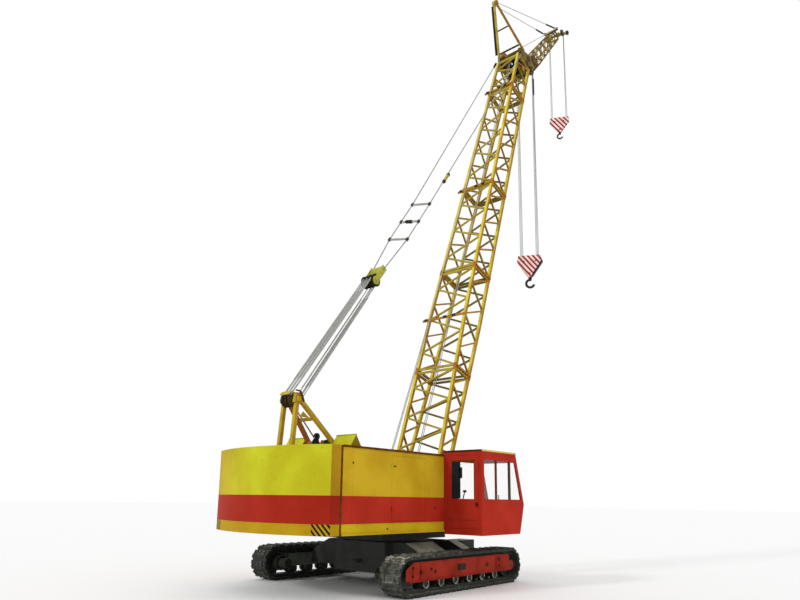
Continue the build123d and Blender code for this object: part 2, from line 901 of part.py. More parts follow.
for name, start, end in zip(names, ends, ends[1:]):
    bays = bay_counts[name]
    bars = []
    lace_start = start + (500.0 if start == 0 else 60.0)
    lace_end = end - 60.0
    step = (lace_end - lace_start) / bays
    breaks = [start] + ([taper_length] if start < taper_length < end else []) + [end]
    for low, high in zip(breaks, breaks[1:]):
        for out_sign, y_sign in corners:
            past = run if high == head_start else 0.0
            bars.append(
                bar(
                    corner(low, out_sign, y_sign),
                    corner(high + past, out_sign, y_sign),
                    chord,
                )
            )
    for i in range(4):
        here, there = corners[i], corners[(i + 1) % 4]
        for bay in range(bays):
            low = lace_start + bay * step
            middle = low + step / 2
            across = (0, 1, 0) if i % 2 == 0 else forward
            bars.append(
                bar(corner(low, *here), corner(middle, *there), lace, across=across)
            )
            bars.append(
                bar(
                    corner(middle, *there),
                    corner(low + step, *here),
                    lace,
                    across=across,
                )
            )
        for along in (lace_start, lace_end):
            bars.append(bar(corner(along, *here), corner(along, *there), lace * 1.3))
    for along in rope_bars:
        if start < along < end:
            out = -half_depth(along) - chord / 2 - rope_bar * 0.4
            tips = (-half_width(along) - chord, half_width(along) + rope_bar_reach)
            bars.append(bar(*[on_boom(along, out, y) for y in tips], rope_bar))
    with BuildPart() as section:
        add(bars)
        if start == 0:
            for y_sign in (-1, 1):
                y = y_sign * foot_half_width
                add(
                    bar(
                        on_boom(0, 0, y),
                        on_boom(foot_plate, 0, y),
                        lug_half,
                        2 * half_depth(0) + chord,
                    )
                )
                add(round_bar((foot_x, y - lug_half / 2, foot_z), (foot_x, y + lug_half / 2, foot_z), 95))
            with BuildSketch(xz(0)):
                with Locations((foot_x, foot_z)):
                    Circle(pin_radius + seat)
            extrude(amount=2 * foot_half_width, both=True, mode=Mode.SUBTRACT)
        if end == head_start:
            top = Plane(origin=on_boom(end, 0, 0), z_dir=(lean_x, 0, lean_z))
            split(bisect_by=top, keep=Keep.BOTTOM)
    write(section, name)


# Head frame: side plates that carry the hoist axle in front, the jib and its strut above
# and the pendant lugs behind
hoist_axle = on_boom(boom_length + 90, 560, 0)
hoist_sheave = rim_over(hoist_reach, sheave_width)
falls_x = hoist_axle[0] + hoist_reach
jib_foot = on_boom(boom_length + 610, 804, 0)
strut_foot = on_boom(boom_length + 60, -240, 0)
pendant_pin = on_boom(boom_length - 120, -360, 0)
head_plate = 50.0
strut_bar = 70.0
strut_pad = 55.0  # from the head plates to the strut's legs
strut_y = head_half_width + head_plate / 2 + strut_pad + strut_bar / 2
eye_thick, eye_high = 24.0, 90.0  # the flat bars at the pendants' ends
eye_clearance = 25.0  # beside the strut's heels, which the eyes pass as the boom comes down
pendant_y = strut_y + strut_bar / 2 + eye_clearance + eye_thick / 2
pendant_gap = 20.0  # from a pendant's middle to the end of the lug pin
hoist_y = head_half_width - head_plate / 2 - sheave_width / 2 - run
head_outline = [
    on_boom(head_start, -boom_half_depth - chord / 2, 0),
    on_boom(boom_length + 60, -boom_half_depth - chord / 2, 0),
    on_boom(boom_length + 160, -boom_half_depth + 30, 0),
    on_boom(boom_length + 600, 640, 0),
    on_boom(boom_length + 720, 780, 0),
    on_boom(boom_length + 690, 900, 0),
    on_boom(boom_length + 540, 920, 0),
    on_boom(boom_length + 20, 690, 0),
    on_boom(head_start, boom_half_depth + chord / 2, 0),
]


def cross_bar(point, half, size):
    """A square bar across the machine through a point of the side view."""
    return bar((point[0], -half, point[2]), (point[0], half, point[2]), size)


def cross_pin(point, half, radius):
    """A round bar across the machine through a point of the side view."""
    return round_bar((point[0], -half, point[2]), (point[0], half, point[2]), radius)


with BuildPart() as head_frame:
    for sign in (-1, 1):
        with BuildSketch(xz(sign * head_half_width)):
            with BuildLine():
                Polyline(*[(x, z) for x, y, z in head_outline], close=True)
            make_face()
        extrude(amount=head_plate / 2, both=True)
    add(cross_pin(hoist_axle, head_half_width + head_plate / 2 + 20, axle))
    add(cross_bar(on_boom(boom_length + 60, -330, 0), head_half_width, 90))
    add(cross_bar(on_boom(boom_length + 60, 190, 0), head_half_width, 90))
    add(cross_pin(jib_foot, head_half_width, axle))
    add(cross_pin(pendant_pin, pendant_y - pendant_gap, 35))
write(head_frame, "boom_head_frame")

with BuildPart() as hoist_sheaves:
    for y in [i * hoist_y / 2 for i in range(-2, 3)]:
        add(
            sheave(hoist_axle[0], y, hoist_axle[2], hoist_sheave, sheave_width, axle + seat)
        )
write(hoist_sheaves, "hoist_sheaves")

# Jib: four chords that close in on its end, then two plates that reach out to the tip
jib_length, jib_angle = 3920.0, 50.0
jib_root_half, jib_tip_half = 250.0, 175.0
jib_root_deep, jib_tip_deep = 235.0, 170.0
jib_chord, jib_lace = 50.0, 28.0
jib_bays = 6
nose_length, nose_drop = 1770.0, 396.0  # from the jib's end to the tip sheave
tip_radius = 110.0
stay_half, stay_side = 300.0, 70.0  # half length and side of the bar that holds the stays
weld = 5.0
stay_lug = 120.0
aux_share = 0.12  # share of the nose at which the auxiliary axle lies
aux_width = 50.0
jib_axle = 30.0
jib_x, jib_z = cos(radians(jib_angle)), sin(radians(jib_angle))
jib_start = 600.0  # where the four chords begin, past the foot plates


def on_jib(along, out, y):
    """A point by its distance up the jib, forward of its middle line, and sideways."""
    return (
        jib_foot[0] + along * jib_x + out * jib_z,
        y,
        jib_foot[2] + along * jib_z - out * jib_x,
    )


def jib_corner(along, out_sign, y_sign):
    """The middle of a jib chord at a distance up the jib."""
    share = along / jib_length
    deep = jib_root_deep + (jib_tip_deep - jib_root_deep) * share
    half = jib_root_half + (jib_tip_half - jib_root_half) * share
    return on_jib(along, out_sign * deep, y_sign * half)


def on_nose(share, y):
    """A point on the nose, by its share of the way from the jib's end to the tip."""
    return on_jib(jib_length + nose_length * share, nose_drop * share, y)


aux_axle = on_nose(aux_share, 0)
aux_sheave = rim_over(aux_reach, aux_width)
aux_x = aux_axle[0] + aux_reach
tip_pin = on_nose(1, 0)
stay_out = jib_tip_deep + jib_chord / 2 + stay_side / 2 - weld
stay_bar = on_jib(jib_length - stay_side / 2, -stay_out, 0)
strut_apex = (5730.0, 0.0, 20900.0)
strut_apex_half = 60.0
stay_y = 90.0
stays, stay_lugs = [], []
for sign in (-1, 1):
    low = Vector(stay_bar[0], sign * (stay_half - 20), stay_bar[2])
    high = Vector(strut_apex[0] + strut_apex_half + run, sign * stay_y, strut_apex[2])
    toward = (high - low).normalized()
    stay_lugs.append(bar(low, low + toward * stay_lug, 30, 60))
    stays.append(round_bar(low + toward * (stay_lug + seat), high, rope / 2))
with BuildPart() as jib:
    bars = []
    for out_sign, y_sign in corners:
        bars.append(
            bar(
                jib_corner(jib_start, out_sign, y_sign),
                jib_corner(jib_length, out_sign, y_sign),
                jib_chord,
            )
        )
    step = (jib_length - jib_start) / jib_bays
    for i in range(4):
        here, there = corners[i], corners[(i + 1) % 4]
        for bay in range(jib_bays):
            low = jib_start + bay * step
            middle = low + step / 2
            for a, b in (
                (jib_corner(low, *here), jib_corner(middle, *there)),
                (jib_corner(middle, *there), jib_corner(low + step, *here)),
            ):
                bars.append(bar(a, b, jib_lace))
        for along in (jib_start, jib_length):
            bars.append(
                bar(jib_corner(along, *here), jib_corner(along, *there), jib_chord)
            )
    for y_sign in (-1, 1):
        y = y_sign * jib_root_half
        bars.append(bar(on_jib(0, 0, y), on_jib(jib_start, 0, y), 50, 2 * jib_root_deep))
        y = y_sign * jib_tip_half
        bars.append(bar(on_jib(jib_length - 60, 0, y), on_nose(aux_share * 1.6, y), 30, 180))
        y = y_sign * 60
        bars.append(bar(on_nose(0, y), on_nose(1.02, y), 24, 90))
    bars.append(cross_pin(tip_pin, 75, jib_axle))
    bars.append(cross_pin(aux_axle, aux_half + 45, jib_axle))
    bars.append(cross_bar(stay_bar, stay_half, stay_side))
    bars.extend(stay_lugs)
    add(bars)
    with BuildSketch(xz(0)):
        with Locations((jib_foot[0], jib_foot[2])):
            Circle(axle + seat)
    extrude(amount=head_half_width, both=True, mode=Mode.SUBTRACT)
write(jib, "jib")

with BuildPart() as jib_sheaves:
    for y in (-aux_half, aux_half):
        add(sheave(aux_axle[0], y, aux_axle[2], aux_sheave, aux_width, jib_axle + seat))
    add(sheave(tip_pin[0], 0, tip_pin[2], tip_radius, sheave_width, jib_axle + seat))
write(jib_sheaves, "jib_sheaves")

# Strut over the boom head, and the two stays from it to the jib
with BuildPart() as jib_strut:
    bars = []
    for sign in (-1, 1):
        heel = (strut_foot[0], sign * strut_y, strut_foot[2])
        bars.append(bar(heel, (strut_apex[0], sign * 40, strut_apex[2]), strut_bar))
        plate = (strut_foot[0], sign * (head_half_width + head_plate / 2), strut_foot[2])
        bars.append(round_bar(plate, heel, strut_bar * 0.7))
    for share, size in ((0.14, 50), (0.53, 40)):
        half = strut_y + (40 - strut_y) * share
        x = strut_foot[0] + (strut_apex[0] - strut_foot[0]) * share
        z = strut_foot[2] + (strut_apex[2] - strut_foot[2]) * share
        bars.append(bar((x, -half, z), (x, half, z), size))
    bars.append(cross_bar(strut_apex, 110, 2 * strut_apex_half))
    add(bars)
write(jib_strut, "jib_strut")

with BuildPart() as jib_stays:
    add(stays)
write(jib_stays, "jib_stays")

# Luffing rigging: rope falls from the gantry to the bridle, then two pendants
falls_length = 4400.0
falls_run, falls_rise = pendant_pin[0] - gantry_x, pendant_pin[2] - gantry_z
pendant_high = (falls_run**2 + falls_rise**2) ** 0.5
falls_c, falls_s = falls_run / pendant_high, falls_rise / pendant_high
droop = 160.0  # how far the rigging hangs below a straight line, half way


def on_falls(along, out, y):
    """A point by its distance along the drooping line from the gantry head to the boom
    head, below it and sideways."""
    share = along / pendant_high
    out += 4 * droop * share * (1 - share)
    return (
        gantry_x + along * falls_c + out * falls_s,
        y,
        gantry_z + along * falls_s - out * falls_c,
    )


# Bridle: a spool between two cheeks, with a rim on either side of each rope
fall_rows = (-sheave_spacing, 0.0, sheave_spacing)
fall_lay = rope + seat  # the bridle's ropes lie this far beside the gantry's
bridle_core, bridle_rim, rim_thick = 120.0, 175.0, 12.0
bridle_half = 1.5 * sheave_spacing + rim_thick / 2
bridle_reach = bridle_core + rope / 2 + seat
falls_lower_end = falls_length - bridle_rim - 380
falls_upper_start = 560.0


def fall(along, end, side, y):
    """A rope above or below the middle line, which closes in from the gantry's sheaves
    to the bridle's spool."""
    reach = [
        falls_reach + (bridle_reach - falls_reach) * a / falls_length for a in (along, end)
    ]
    return round_bar(
        on_falls(along, side * reach[0], y), on_falls(end, side * reach[1], y), rope / 2
    )


with BuildPart() as falls_lower:
    for y in fall_rows:
        for side in (-1, 1):
            add(fall(0, falls_lower_end, side, y))
write(falls_lower, "luffing_falls_lower")

with BuildPart() as falls_upper:
    for y in fall_rows:
        for side in (-1, 1):
            add(fall(falls_upper_start, falls_length, side, y + fall_lay))
write(falls_upper, "luffing_falls_upper")

fork_length, fork_rear, fork_front = 560.0, 80.0, 95.0  # and the half heights of its ends
fork_side = 24.0
fork_y = bridle_half + fork_side / 2 + run
with BuildPart() as bridle:
    centre = on_falls(falls_length, 0, 0)
    add(cross_pin(centre, fork_y, bridle_core))
    for i in range(4):
        y = (i - 1.5) * sheave_spacing
        rim = [(centre[0], y + sign * rim_thick / 2, centre[2]) for sign in (-1, 1)]
        add(round_bar(*rim, bridle_rim))
    for sign in (-1, 1):
        outline = [
            on_falls(falls_length - 90, -fork_rear, 0),
            on_falls(falls_length - 90, fork_rear, 0),
            on_falls(falls_length + fork_length, fork_front, 0),
            on_falls(falls_length + fork_length, -fork_front, 0),
        ]
        with BuildSketch(xz(sign * fork_y)):
            with BuildLine():
                Polyline(*[(x, z) for x, y, z in outline], close=True)
            make_face()
        extrude(amount=fork_side / 2, both=True)
    add(cross_pin(centre, fork_y + 30, 40))
    add(cross_bar(on_falls(falls_length + fork_length - 110, 0, 0), fork_y, 150))
write(bridle, "bridle")

# Pendants: distance along the line and half spread of each kink
pendant_low = falls_length + fork_length
spread = 335.0
spreaders = [falls_length + reach for reach in (1940.0, 2820.0, 3730.0)]
slack, slack_drop = 70.0, 50.0  # the right pendant is slacker, so its joints hang lower
pendant_rod = 16.0
pendant_foot_y = fork_y + fork_side / 2 + pendant_rod + seat
pendant_route = [
    (pendant_low - 120, pendant_foot_y),
    (pendant_low + 40, pendant_foot_y),
    (spreaders[0], spread),
    (spreaders[-1], spread),
    (pendant_high, pendant_y),
]


def on_pendant(along, sign, y):
    """A point on a pendant: its joints lie a little off the middle where it spreads."""
    rise = (along - pendant_low) / (spreaders[0] - pendant_low)
    fall_off = (pendant_high - along) / (pendant_high - spreaders[-1])
    share = max(0, min(1, rise, fall_off))
    return on_falls(along + sign * slack * share, -sign * slack_drop * share, sign * y)


with BuildPart() as pendants:
    bars = []
    for sign in (-1, 1):
        for (low, low_y), (high, high_y) in zip(pendant_route, pendant_route[1:]):
            bars.append(
                round_bar(on_pendant(low, sign, low_y), on_pendant(high, sign, high_y), pendant_rod)
            )
        ends = [on_pendant(pendant_high + step, sign, pendant_y) for step in (-260, 50)]
        bars.append(bar(*ends, eye_thick, eye_high))
    for along in spreaders:
        bars.append(bar(on_pendant(along, -1, spread + 40), on_pendant(along, 1, spread + 40), 50))
    add(bars)
write(pendants, "pendants")


def write_turned(piece, x, label):
    """Write a piece that hangs below the head, turned about the line of its ropes."""
    with BuildPart() as hanging:
        add(piece.part.rotate(Axis((x, 0, 0), (0, 0, 1)), block_turn))
    write(hanging, label)


def hook_block(name, x, top, point, half, plate, gap, rope_y, block_rope_y, axle_height):
    """Two five-sided cheeks with sheaves between them and the outer pair of ropes
    that carry them from an axle's height."""
    shoulder = top - (top - point) * 0.27
    with BuildPart() as cheeks:
        for sign in (-1, 1):
            plane = Plane(
                origin=(x + sign * (gap + plate) / 2, 0, 0), x_dir=(0, 1, 0), z_dir=(1, 0, 0)
            )
            with BuildSketch(plane):
                with BuildLine():
                    Polyline(
                        (-half, top),
                        (half, top),
                        (half * 1.12, shoulder),
                        (half * 0.12, point),
                        (-half * 0.12, point),
                        (-half * 1.12, shoulder),
                        close=True,
                    )
                make_face()
            extrude(amount=plate / 2, both=True)
        middle = Plane(origin=(x, 0, 0), x_dir=(0, 1, 0), z_dir=(1, 0, 0))
        with BuildSketch(middle):
            with BuildLine():
                Polyline(
                    (-half * 0.35, top - 60),
                    (half * 0.35, top - 60),
                    (half * 0.12, point),
                    (-half * 0.12, point),
                    close=True,
                )
            make_face()
        extrude(amount=gap / 2, both=True)
        for sign in (-1, 1):
            radius = (top - shoulder) * 0.85
            centre = sign * (block_rope_y - rope / 2 - seat - radius)
            with BuildSketch(middle):
                with Locations((centre, shoulder)):
                    Circle(radius)
            extrude(amount=gap / 2, both=True)
    write_turned(cheeks, x, name)
    turn = radians(block_turn)
    with BuildPart() as ropes:
        for sign in (-1, 1):
            low_x = x - sign * block_rope_y * sin(turn)
            low_y = sign * block_rope_y * cos(turn)
            add(round_bar((low_x, low_y, shoulder), (x, sign * rope_y, axle_height), rope / 2))
    write(ropes, name.replace("block", "falls"))


hook_drop = 1.6  # from a hook's top to the middle of its bowl, in radii of the bowl


def hook(name, x, top, radius, bar_radius):
    """A forged hook on a round shank: the bowl opens towards the right."""
    centre = top - hook_drop * radius
    with BuildPart() as forging:
        add(round_bar((x, 0, centre + radius * 0.9), (x, 0, top), bar_radius * 1.1))
        plane = Plane(origin=(x, 0, centre), x_dir=(0, -1, 0), z_dir=(-1, 0, 0))
        with BuildLine(plane):
            bowl = CenterArc((0, 0), radius, 90, 250)
        with BuildSketch(Plane(origin=bowl @ 0, z_dir=bowl % 0)):
            Circle(bar_radius)
        sweep(path=bowl)
        add(Location((x, 0, centre + radius)) * Sphere(bar_radius * 1.25, mode=Mode.PRIVATE))
    write_turned(forging, x, name)


hook_block(
    "main_block", falls_x, block_top, block_point, block_half, 25, 130,
    hoist_y, block_reach, hoist_axle[2],
)
hook("main_hook", falls_x, block_point - seat, 150, 46)
hook_block(
    "aux_block", aux_x, aux_top, aux_point, aux_block_half, 20, 90,
    aux_half, aux_block_reach, aux_axle[2],
)
hook("aux_hook", aux_x, aux_point - seat, 110, 32)
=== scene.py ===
"""Looks for a crawler crane with a lattice boom: paint, ropes, tracks, cab and lights.

Metres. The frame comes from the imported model: +X forward, +Y left, +Z up, and the ground
under the slewing axis is the origin.
"""

from math import cos, pi, radians, sin

import bpy
import numpy as np
from mathutils import Matrix, Vector


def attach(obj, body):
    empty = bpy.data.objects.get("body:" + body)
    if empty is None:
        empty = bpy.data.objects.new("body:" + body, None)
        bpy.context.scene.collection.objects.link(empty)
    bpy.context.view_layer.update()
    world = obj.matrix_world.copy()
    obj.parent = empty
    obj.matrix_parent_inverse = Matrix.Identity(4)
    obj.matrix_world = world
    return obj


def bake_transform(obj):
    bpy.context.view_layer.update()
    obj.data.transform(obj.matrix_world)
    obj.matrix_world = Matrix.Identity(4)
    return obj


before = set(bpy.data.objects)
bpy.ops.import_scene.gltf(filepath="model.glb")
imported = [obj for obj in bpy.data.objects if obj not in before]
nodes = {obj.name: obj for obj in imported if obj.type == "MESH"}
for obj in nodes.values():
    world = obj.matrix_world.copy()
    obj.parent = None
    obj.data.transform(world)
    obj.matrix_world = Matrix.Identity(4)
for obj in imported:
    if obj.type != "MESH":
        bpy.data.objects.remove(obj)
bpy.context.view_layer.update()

# Sizes that the part's source also names
house_half, house_low, house_high = 1.925, 1.31, 3.14
tail_joint, house_front = -3.62, 0.33  # where the round tail begins, and the front wall
red_low, red_high = 1.54, 2.11  # the red band round the house
gantry_x, gantry_z = -3.46, 4.27  # the axle of the gantry's sheaves
boom_foot = np.array([0.88, 0.0, 1.56])
boom_angle, boom_length, boom_chord = radians(70.5), 18.6, 0.09
boom_wide_low, boom_wide_high = 0.8, 0.436  # half widths at the foot and the head
boom_deep_low, boom_deep_high = 0.19, 0.41  # half depths at the foot and from boom_deep_from on
boom_deep_from = 6.35
jib_foot, jib_angle = np.array([8.0503, 0.0, 19.3998]), radians(50)
strut_apex = np.array([5.795, 0.0, 20.9])
falls_length, droop = 4.4, 0.16  # gantry to bridle, and how far the rigging hangs through
spreader_y = 0.335  # how far the pendants are from the middle, up to the last spreader
pendant_pin, pendant_y_high = np.array([6.7094, 0.0, 19.1002]), 0.6228
rope = 0.026  # the diameter
falls_x, hoist_y = 7.8999, 0.376  # the main falls, and half their spread at the boom head
block_top, block_point, block_reach = 11.25, 10.39, 0.34  # reach: half their spread at the block
block_turn = radians(26)  # both hook blocks are turned about their ropes
aux_x, aux_y = 10.873, 0.35
aux_top, aux_point, aux_reach = 18.55, 17.85, 0.33
cab_rear, cab_outer = -0.15, -3.04
track_y, track_height, cover_face = 2.21, 0.875, 2.476


# Shapes
def show(name, points, faces, look, body, slot, smooth=False):
    """A finished mesh from whole arrays of points and faces. It rides on a body; given two
    bodies and the places where each takes hold, it stays where it is, on no body."""
    mesh = bpy.data.meshes.new(name)
    mesh.from_pydata(np.asarray(points, float).tolist(), [], [list(f) for f in faces])
    mesh.update()
    mesh.materials.append(look)
    if smooth:
        mesh.polygons.foreach_set("use_smooth", np.ones(len(mesh.polygons), bool))
    piece = bpy.data.objects.new(name, mesh)
    bpy.context.scene.collection.objects.link(piece)
    if isinstance(body, tuple):
        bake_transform(piece)
    else:
        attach(piece, body)
    return piece


def bevelled(piece, width, segments=2):
    """Rounds a piece's edges."""
    rounding = piece.modifiers.new("edges", "BEVEL")
    rounding.width, rounding.segments = width, segments
    rounding.limit_method = "ANGLE"
    return piece


def boxes(spans):
    """Points and faces of blocks, each between a low and a high corner: a block's eight
    corners take every mix of its low and high values."""
    spans = np.asarray(spans, float)
    pick = np.array([[(i >> k) & 1 for k in range(3)] for i in range(8)])
    points = np.stack([spans[:, pick[:, k], k] for k in range(3)], axis=2).reshape(-1, 3)
    quads = [(0, 2, 3, 1), (4, 5, 7, 6), (0, 1, 5, 4), (2, 6, 7, 3), (0, 4, 6, 2), (1, 3, 7, 5)]
    faces = (np.array(quads)[None] + 8 * np.arange(len(spans))[:, None, None]).reshape(-1, 4)
    return points, faces


def bars(runs, widths, depth, across=(0.0, 1.0, 0.0)):
    """Points and faces of square bars, each from its start to its end: four corners at
    either end, half a width along a side vector and half a depth along its normal."""
    runs = np.asarray(runs, float)
    along = runs[:, 1] - runs[:, 0]
    along /= np.linalg.norm(along, axis=1)[:, None]
    side = np.asarray(across, float) - along * (along @ np.asarray(across, float))[:, None]
    side /= np.linalg.norm(side, axis=1)[:, None]
    normal = np.cross(along, side)
    half = np.broadcast_to(np.asarray(widths, float) / 2, (len(runs),))[:, None]
    turns = np.array([(-1, -1), (1, -1), (1, 1), (-1, 1)], float)
    ring = [side * half * a + normal * depth / 2 * b for a, b in turns]
    points = np.stack([runs[:, e] + r for e in (0, 1) for r in ring], axis=1).reshape(-1, 3)
    quads = [(3, 2, 1, 0), (4, 5, 6, 7)] + [(i, (i + 1) % 4, 4 + (i + 1) % 4, 4 + i) for i in range(4)]
    faces = (np.array(quads)[None] + 8 * np.arange(len(runs))[:, None, None]).reshape(-1, 4)
    return points, faces


def rods(runs, radii, sides=10):
    """Points and faces of round rods: a ring of radius r round either end of each run,
    and a flat cap on each ring."""
    runs = np.asarray(runs, float)
    along = runs[:, 1] - runs[:, 0]
    along /= np.linalg.norm(along, axis=1)[:, None]
    guide = np.where(np.abs(along[:, 2:]) > 0.9, [[1.0, 0, 0]], [[0, 0, 1.0]])
    side = np.cross(along, guide)
    side /= np.linalg.norm(side, axis=1)[:, None]
    other = np.cross(along, side)
    turn = np.linspace(0, 2 * pi, sides, endpoint=False)[None, :, None]
    radii = np.broadcast_to(np.asarray(radii, float), (len(runs),))[:, None, None]
    ring = radii * (np.cos(turn) * side[:, None] + np.sin(turn) * other[:, None])
    points = np.concatenate([runs[:, :1] + ring, runs[:, 1:] + ring], axis=1).reshape(-1, 3)
    faces = []
    for i in range(len(runs)):
        base = 2 * sides * i
        low, high = base + np.arange(sides), base + sides + np.arange(sides)
        faces += np.stack([low, np.roll(low, -1), np.roll(high, -1), high], 1).tolist()
        faces += [low[::-1].tolist(), high.tolist()]
    return points, faces


def lathe(profile, centre, axis=(0.0, 1.0, 0.0), sides=32):
    """A closed profile of (radius, distance along the axis) pairs turned round an axis:
    point = centre + axis * distance + radius * (cos * side + sin * other)."""
    axis = np.asarray(axis, float)
    guide = np.array([0, 0, 1.0]) if abs(axis[2]) < 0.9 else np.array([1.0, 0, 0])
    side = np.cross(axis, guide)
    side /= np.linalg.norm(side)
    other = np.cross(axis, side)
    profile = np.asarray(profile, float)
    turn = np.linspace(0, 2 * pi, sides, endpoint=False)[:, None, None]
    ring = np.cos(turn) * side + np.sin(turn) * other
    points = np.asarray(centre) + profile[None, :, 1:] * axis + profile[None, :, :1] * ring
    count = len(profile)
    i, j = np.meshgrid(np.arange(sides), np.arange(count), indexing="ij")
    corners = [(i, j), (i, j + 1), (i + 1, j + 1), (i + 1, j)]
    faces = np.stack([(a % sides) * count + b % count for a, b in corners], -1)
    return points.reshape(-1, 3), faces.reshape(-1, 4)


def plate(outline, thickness):
    """A flat outline of points given thickness along its own normal, both ways."""
    outline = np.asarray(outline, float)
    normal = np.cross(outline[1] - outline[0], outline[2] - outline[0])
    normal *= thickness / 2 / np.linalg.norm(normal)
    count = len(outline)
    points = np.concatenate([outline - normal, outline + normal])
    low, high = np.arange(count), count + np.arange(count)
    faces = np.stack([low, np.roll(low, -1), np.roll(high, -1), high], 1).tolist()
    return points, faces + [low[::-1].tolist(), high.tolist()]


def together(*shapes):
    """Several shapes' points and faces as one."""
    points, faces, count = [], [], 0
    for some, their in shapes:
        points.append(np.asarray(some, float))
        faces += [[count + v for v in face] for face in np.asarray(their, dtype=object).tolist()]
        count += len(some)
    return np.concatenate(points), faces


def mirrored(points, faces):
    """A shape and its mirror image across the middle plane."""
    points = np.asarray(points, float)
    twin = [list(face)[::-1] for face in faces]
    return together((points, [list(f) for f in faces]), (points * [1, -1, 1], twin))


# Places
boom_lift = np.array([cos(boom_angle), 0, sin(boom_angle)])
boom_out = np.array([sin(boom_angle), 0, -cos(boom_angle)])
jib_lift = np.array([cos(jib_angle), 0, sin(jib_angle)])
jib_front = np.array([sin(jib_angle), 0, -cos(jib_angle)])


def on_boom(along, out, y):
    """A point by its distance up the boom, forward of its middle line, and sideways."""
    return boom_foot + along * boom_lift + out * boom_out + np.array([0, y, 0])


def boom_half(along):
    """Half the boom's width and half its depth at a distance up it."""
    wide = boom_wide_low + (boom_wide_high - boom_wide_low) * along / boom_length
    share = min(along / boom_deep_from, 1.0)
    return wide, boom_deep_low + (boom_deep_high - boom_deep_low) * share


falls_run = pendant_pin - np.array([gantry_x, 0, gantry_z])
pendant_high = float(np.linalg.norm(falls_run))
falls_along = falls_run / pendant_high
falls_below = np.array([falls_along[2], 0, -falls_along[0]])


def on_falls(along, out, y):
    """A point by its distance along the drooping rigging, below it and sideways."""
    share = along / pendant_high
    sag = out + 4 * droop * share * (1 - share)
    return np.array([gantry_x, y, gantry_z]) + along * falls_along + sag * falls_below


pendant_low = falls_length + 0.56
spreaders = [falls_length + reach for reach in (1.94, 2.82, 3.73)]


def on_pendant(along, sign, y):
    """A point on a pendant; the right one is slacker and hangs lower where it spreads."""
    rise = (along - pendant_low) / (spreaders[0] - pendant_low)
    fall_off = (pendant_high - along) / (pendant_high - spreaders[-1])
    share = max(0.0, min(1.0, rise, fall_off))
    return on_falls(along + sign * 0.07 * share, -sign * 0.05 * share, sign * y)


# Materials
def linear(hex_colour):
    """The linear RGBA of an sRGB hex colour."""
    srgb = [int(hex_colour[i : i + 2], 16) / 255 for i in (1, 3, 5)]
    return [c / 12.92 if c < 0.04045 else ((c + 0.055) / 1.055) ** 2.4 for c in srgb] + [1]


def node(tree, kind, inputs=(), **settings):
    """Adds one shader node with its settings, and sets or links its inputs."""
    made = tree.nodes.new(kind)
    for name, value in settings.items():
        setattr(made, name, value)
    for name, value in dict(inputs).items():
        if isinstance(value, bpy.types.NodeSocket):
            tree.links.new(value, made.inputs[name])
        else:
            made.inputs[name].default_value = value
    return made


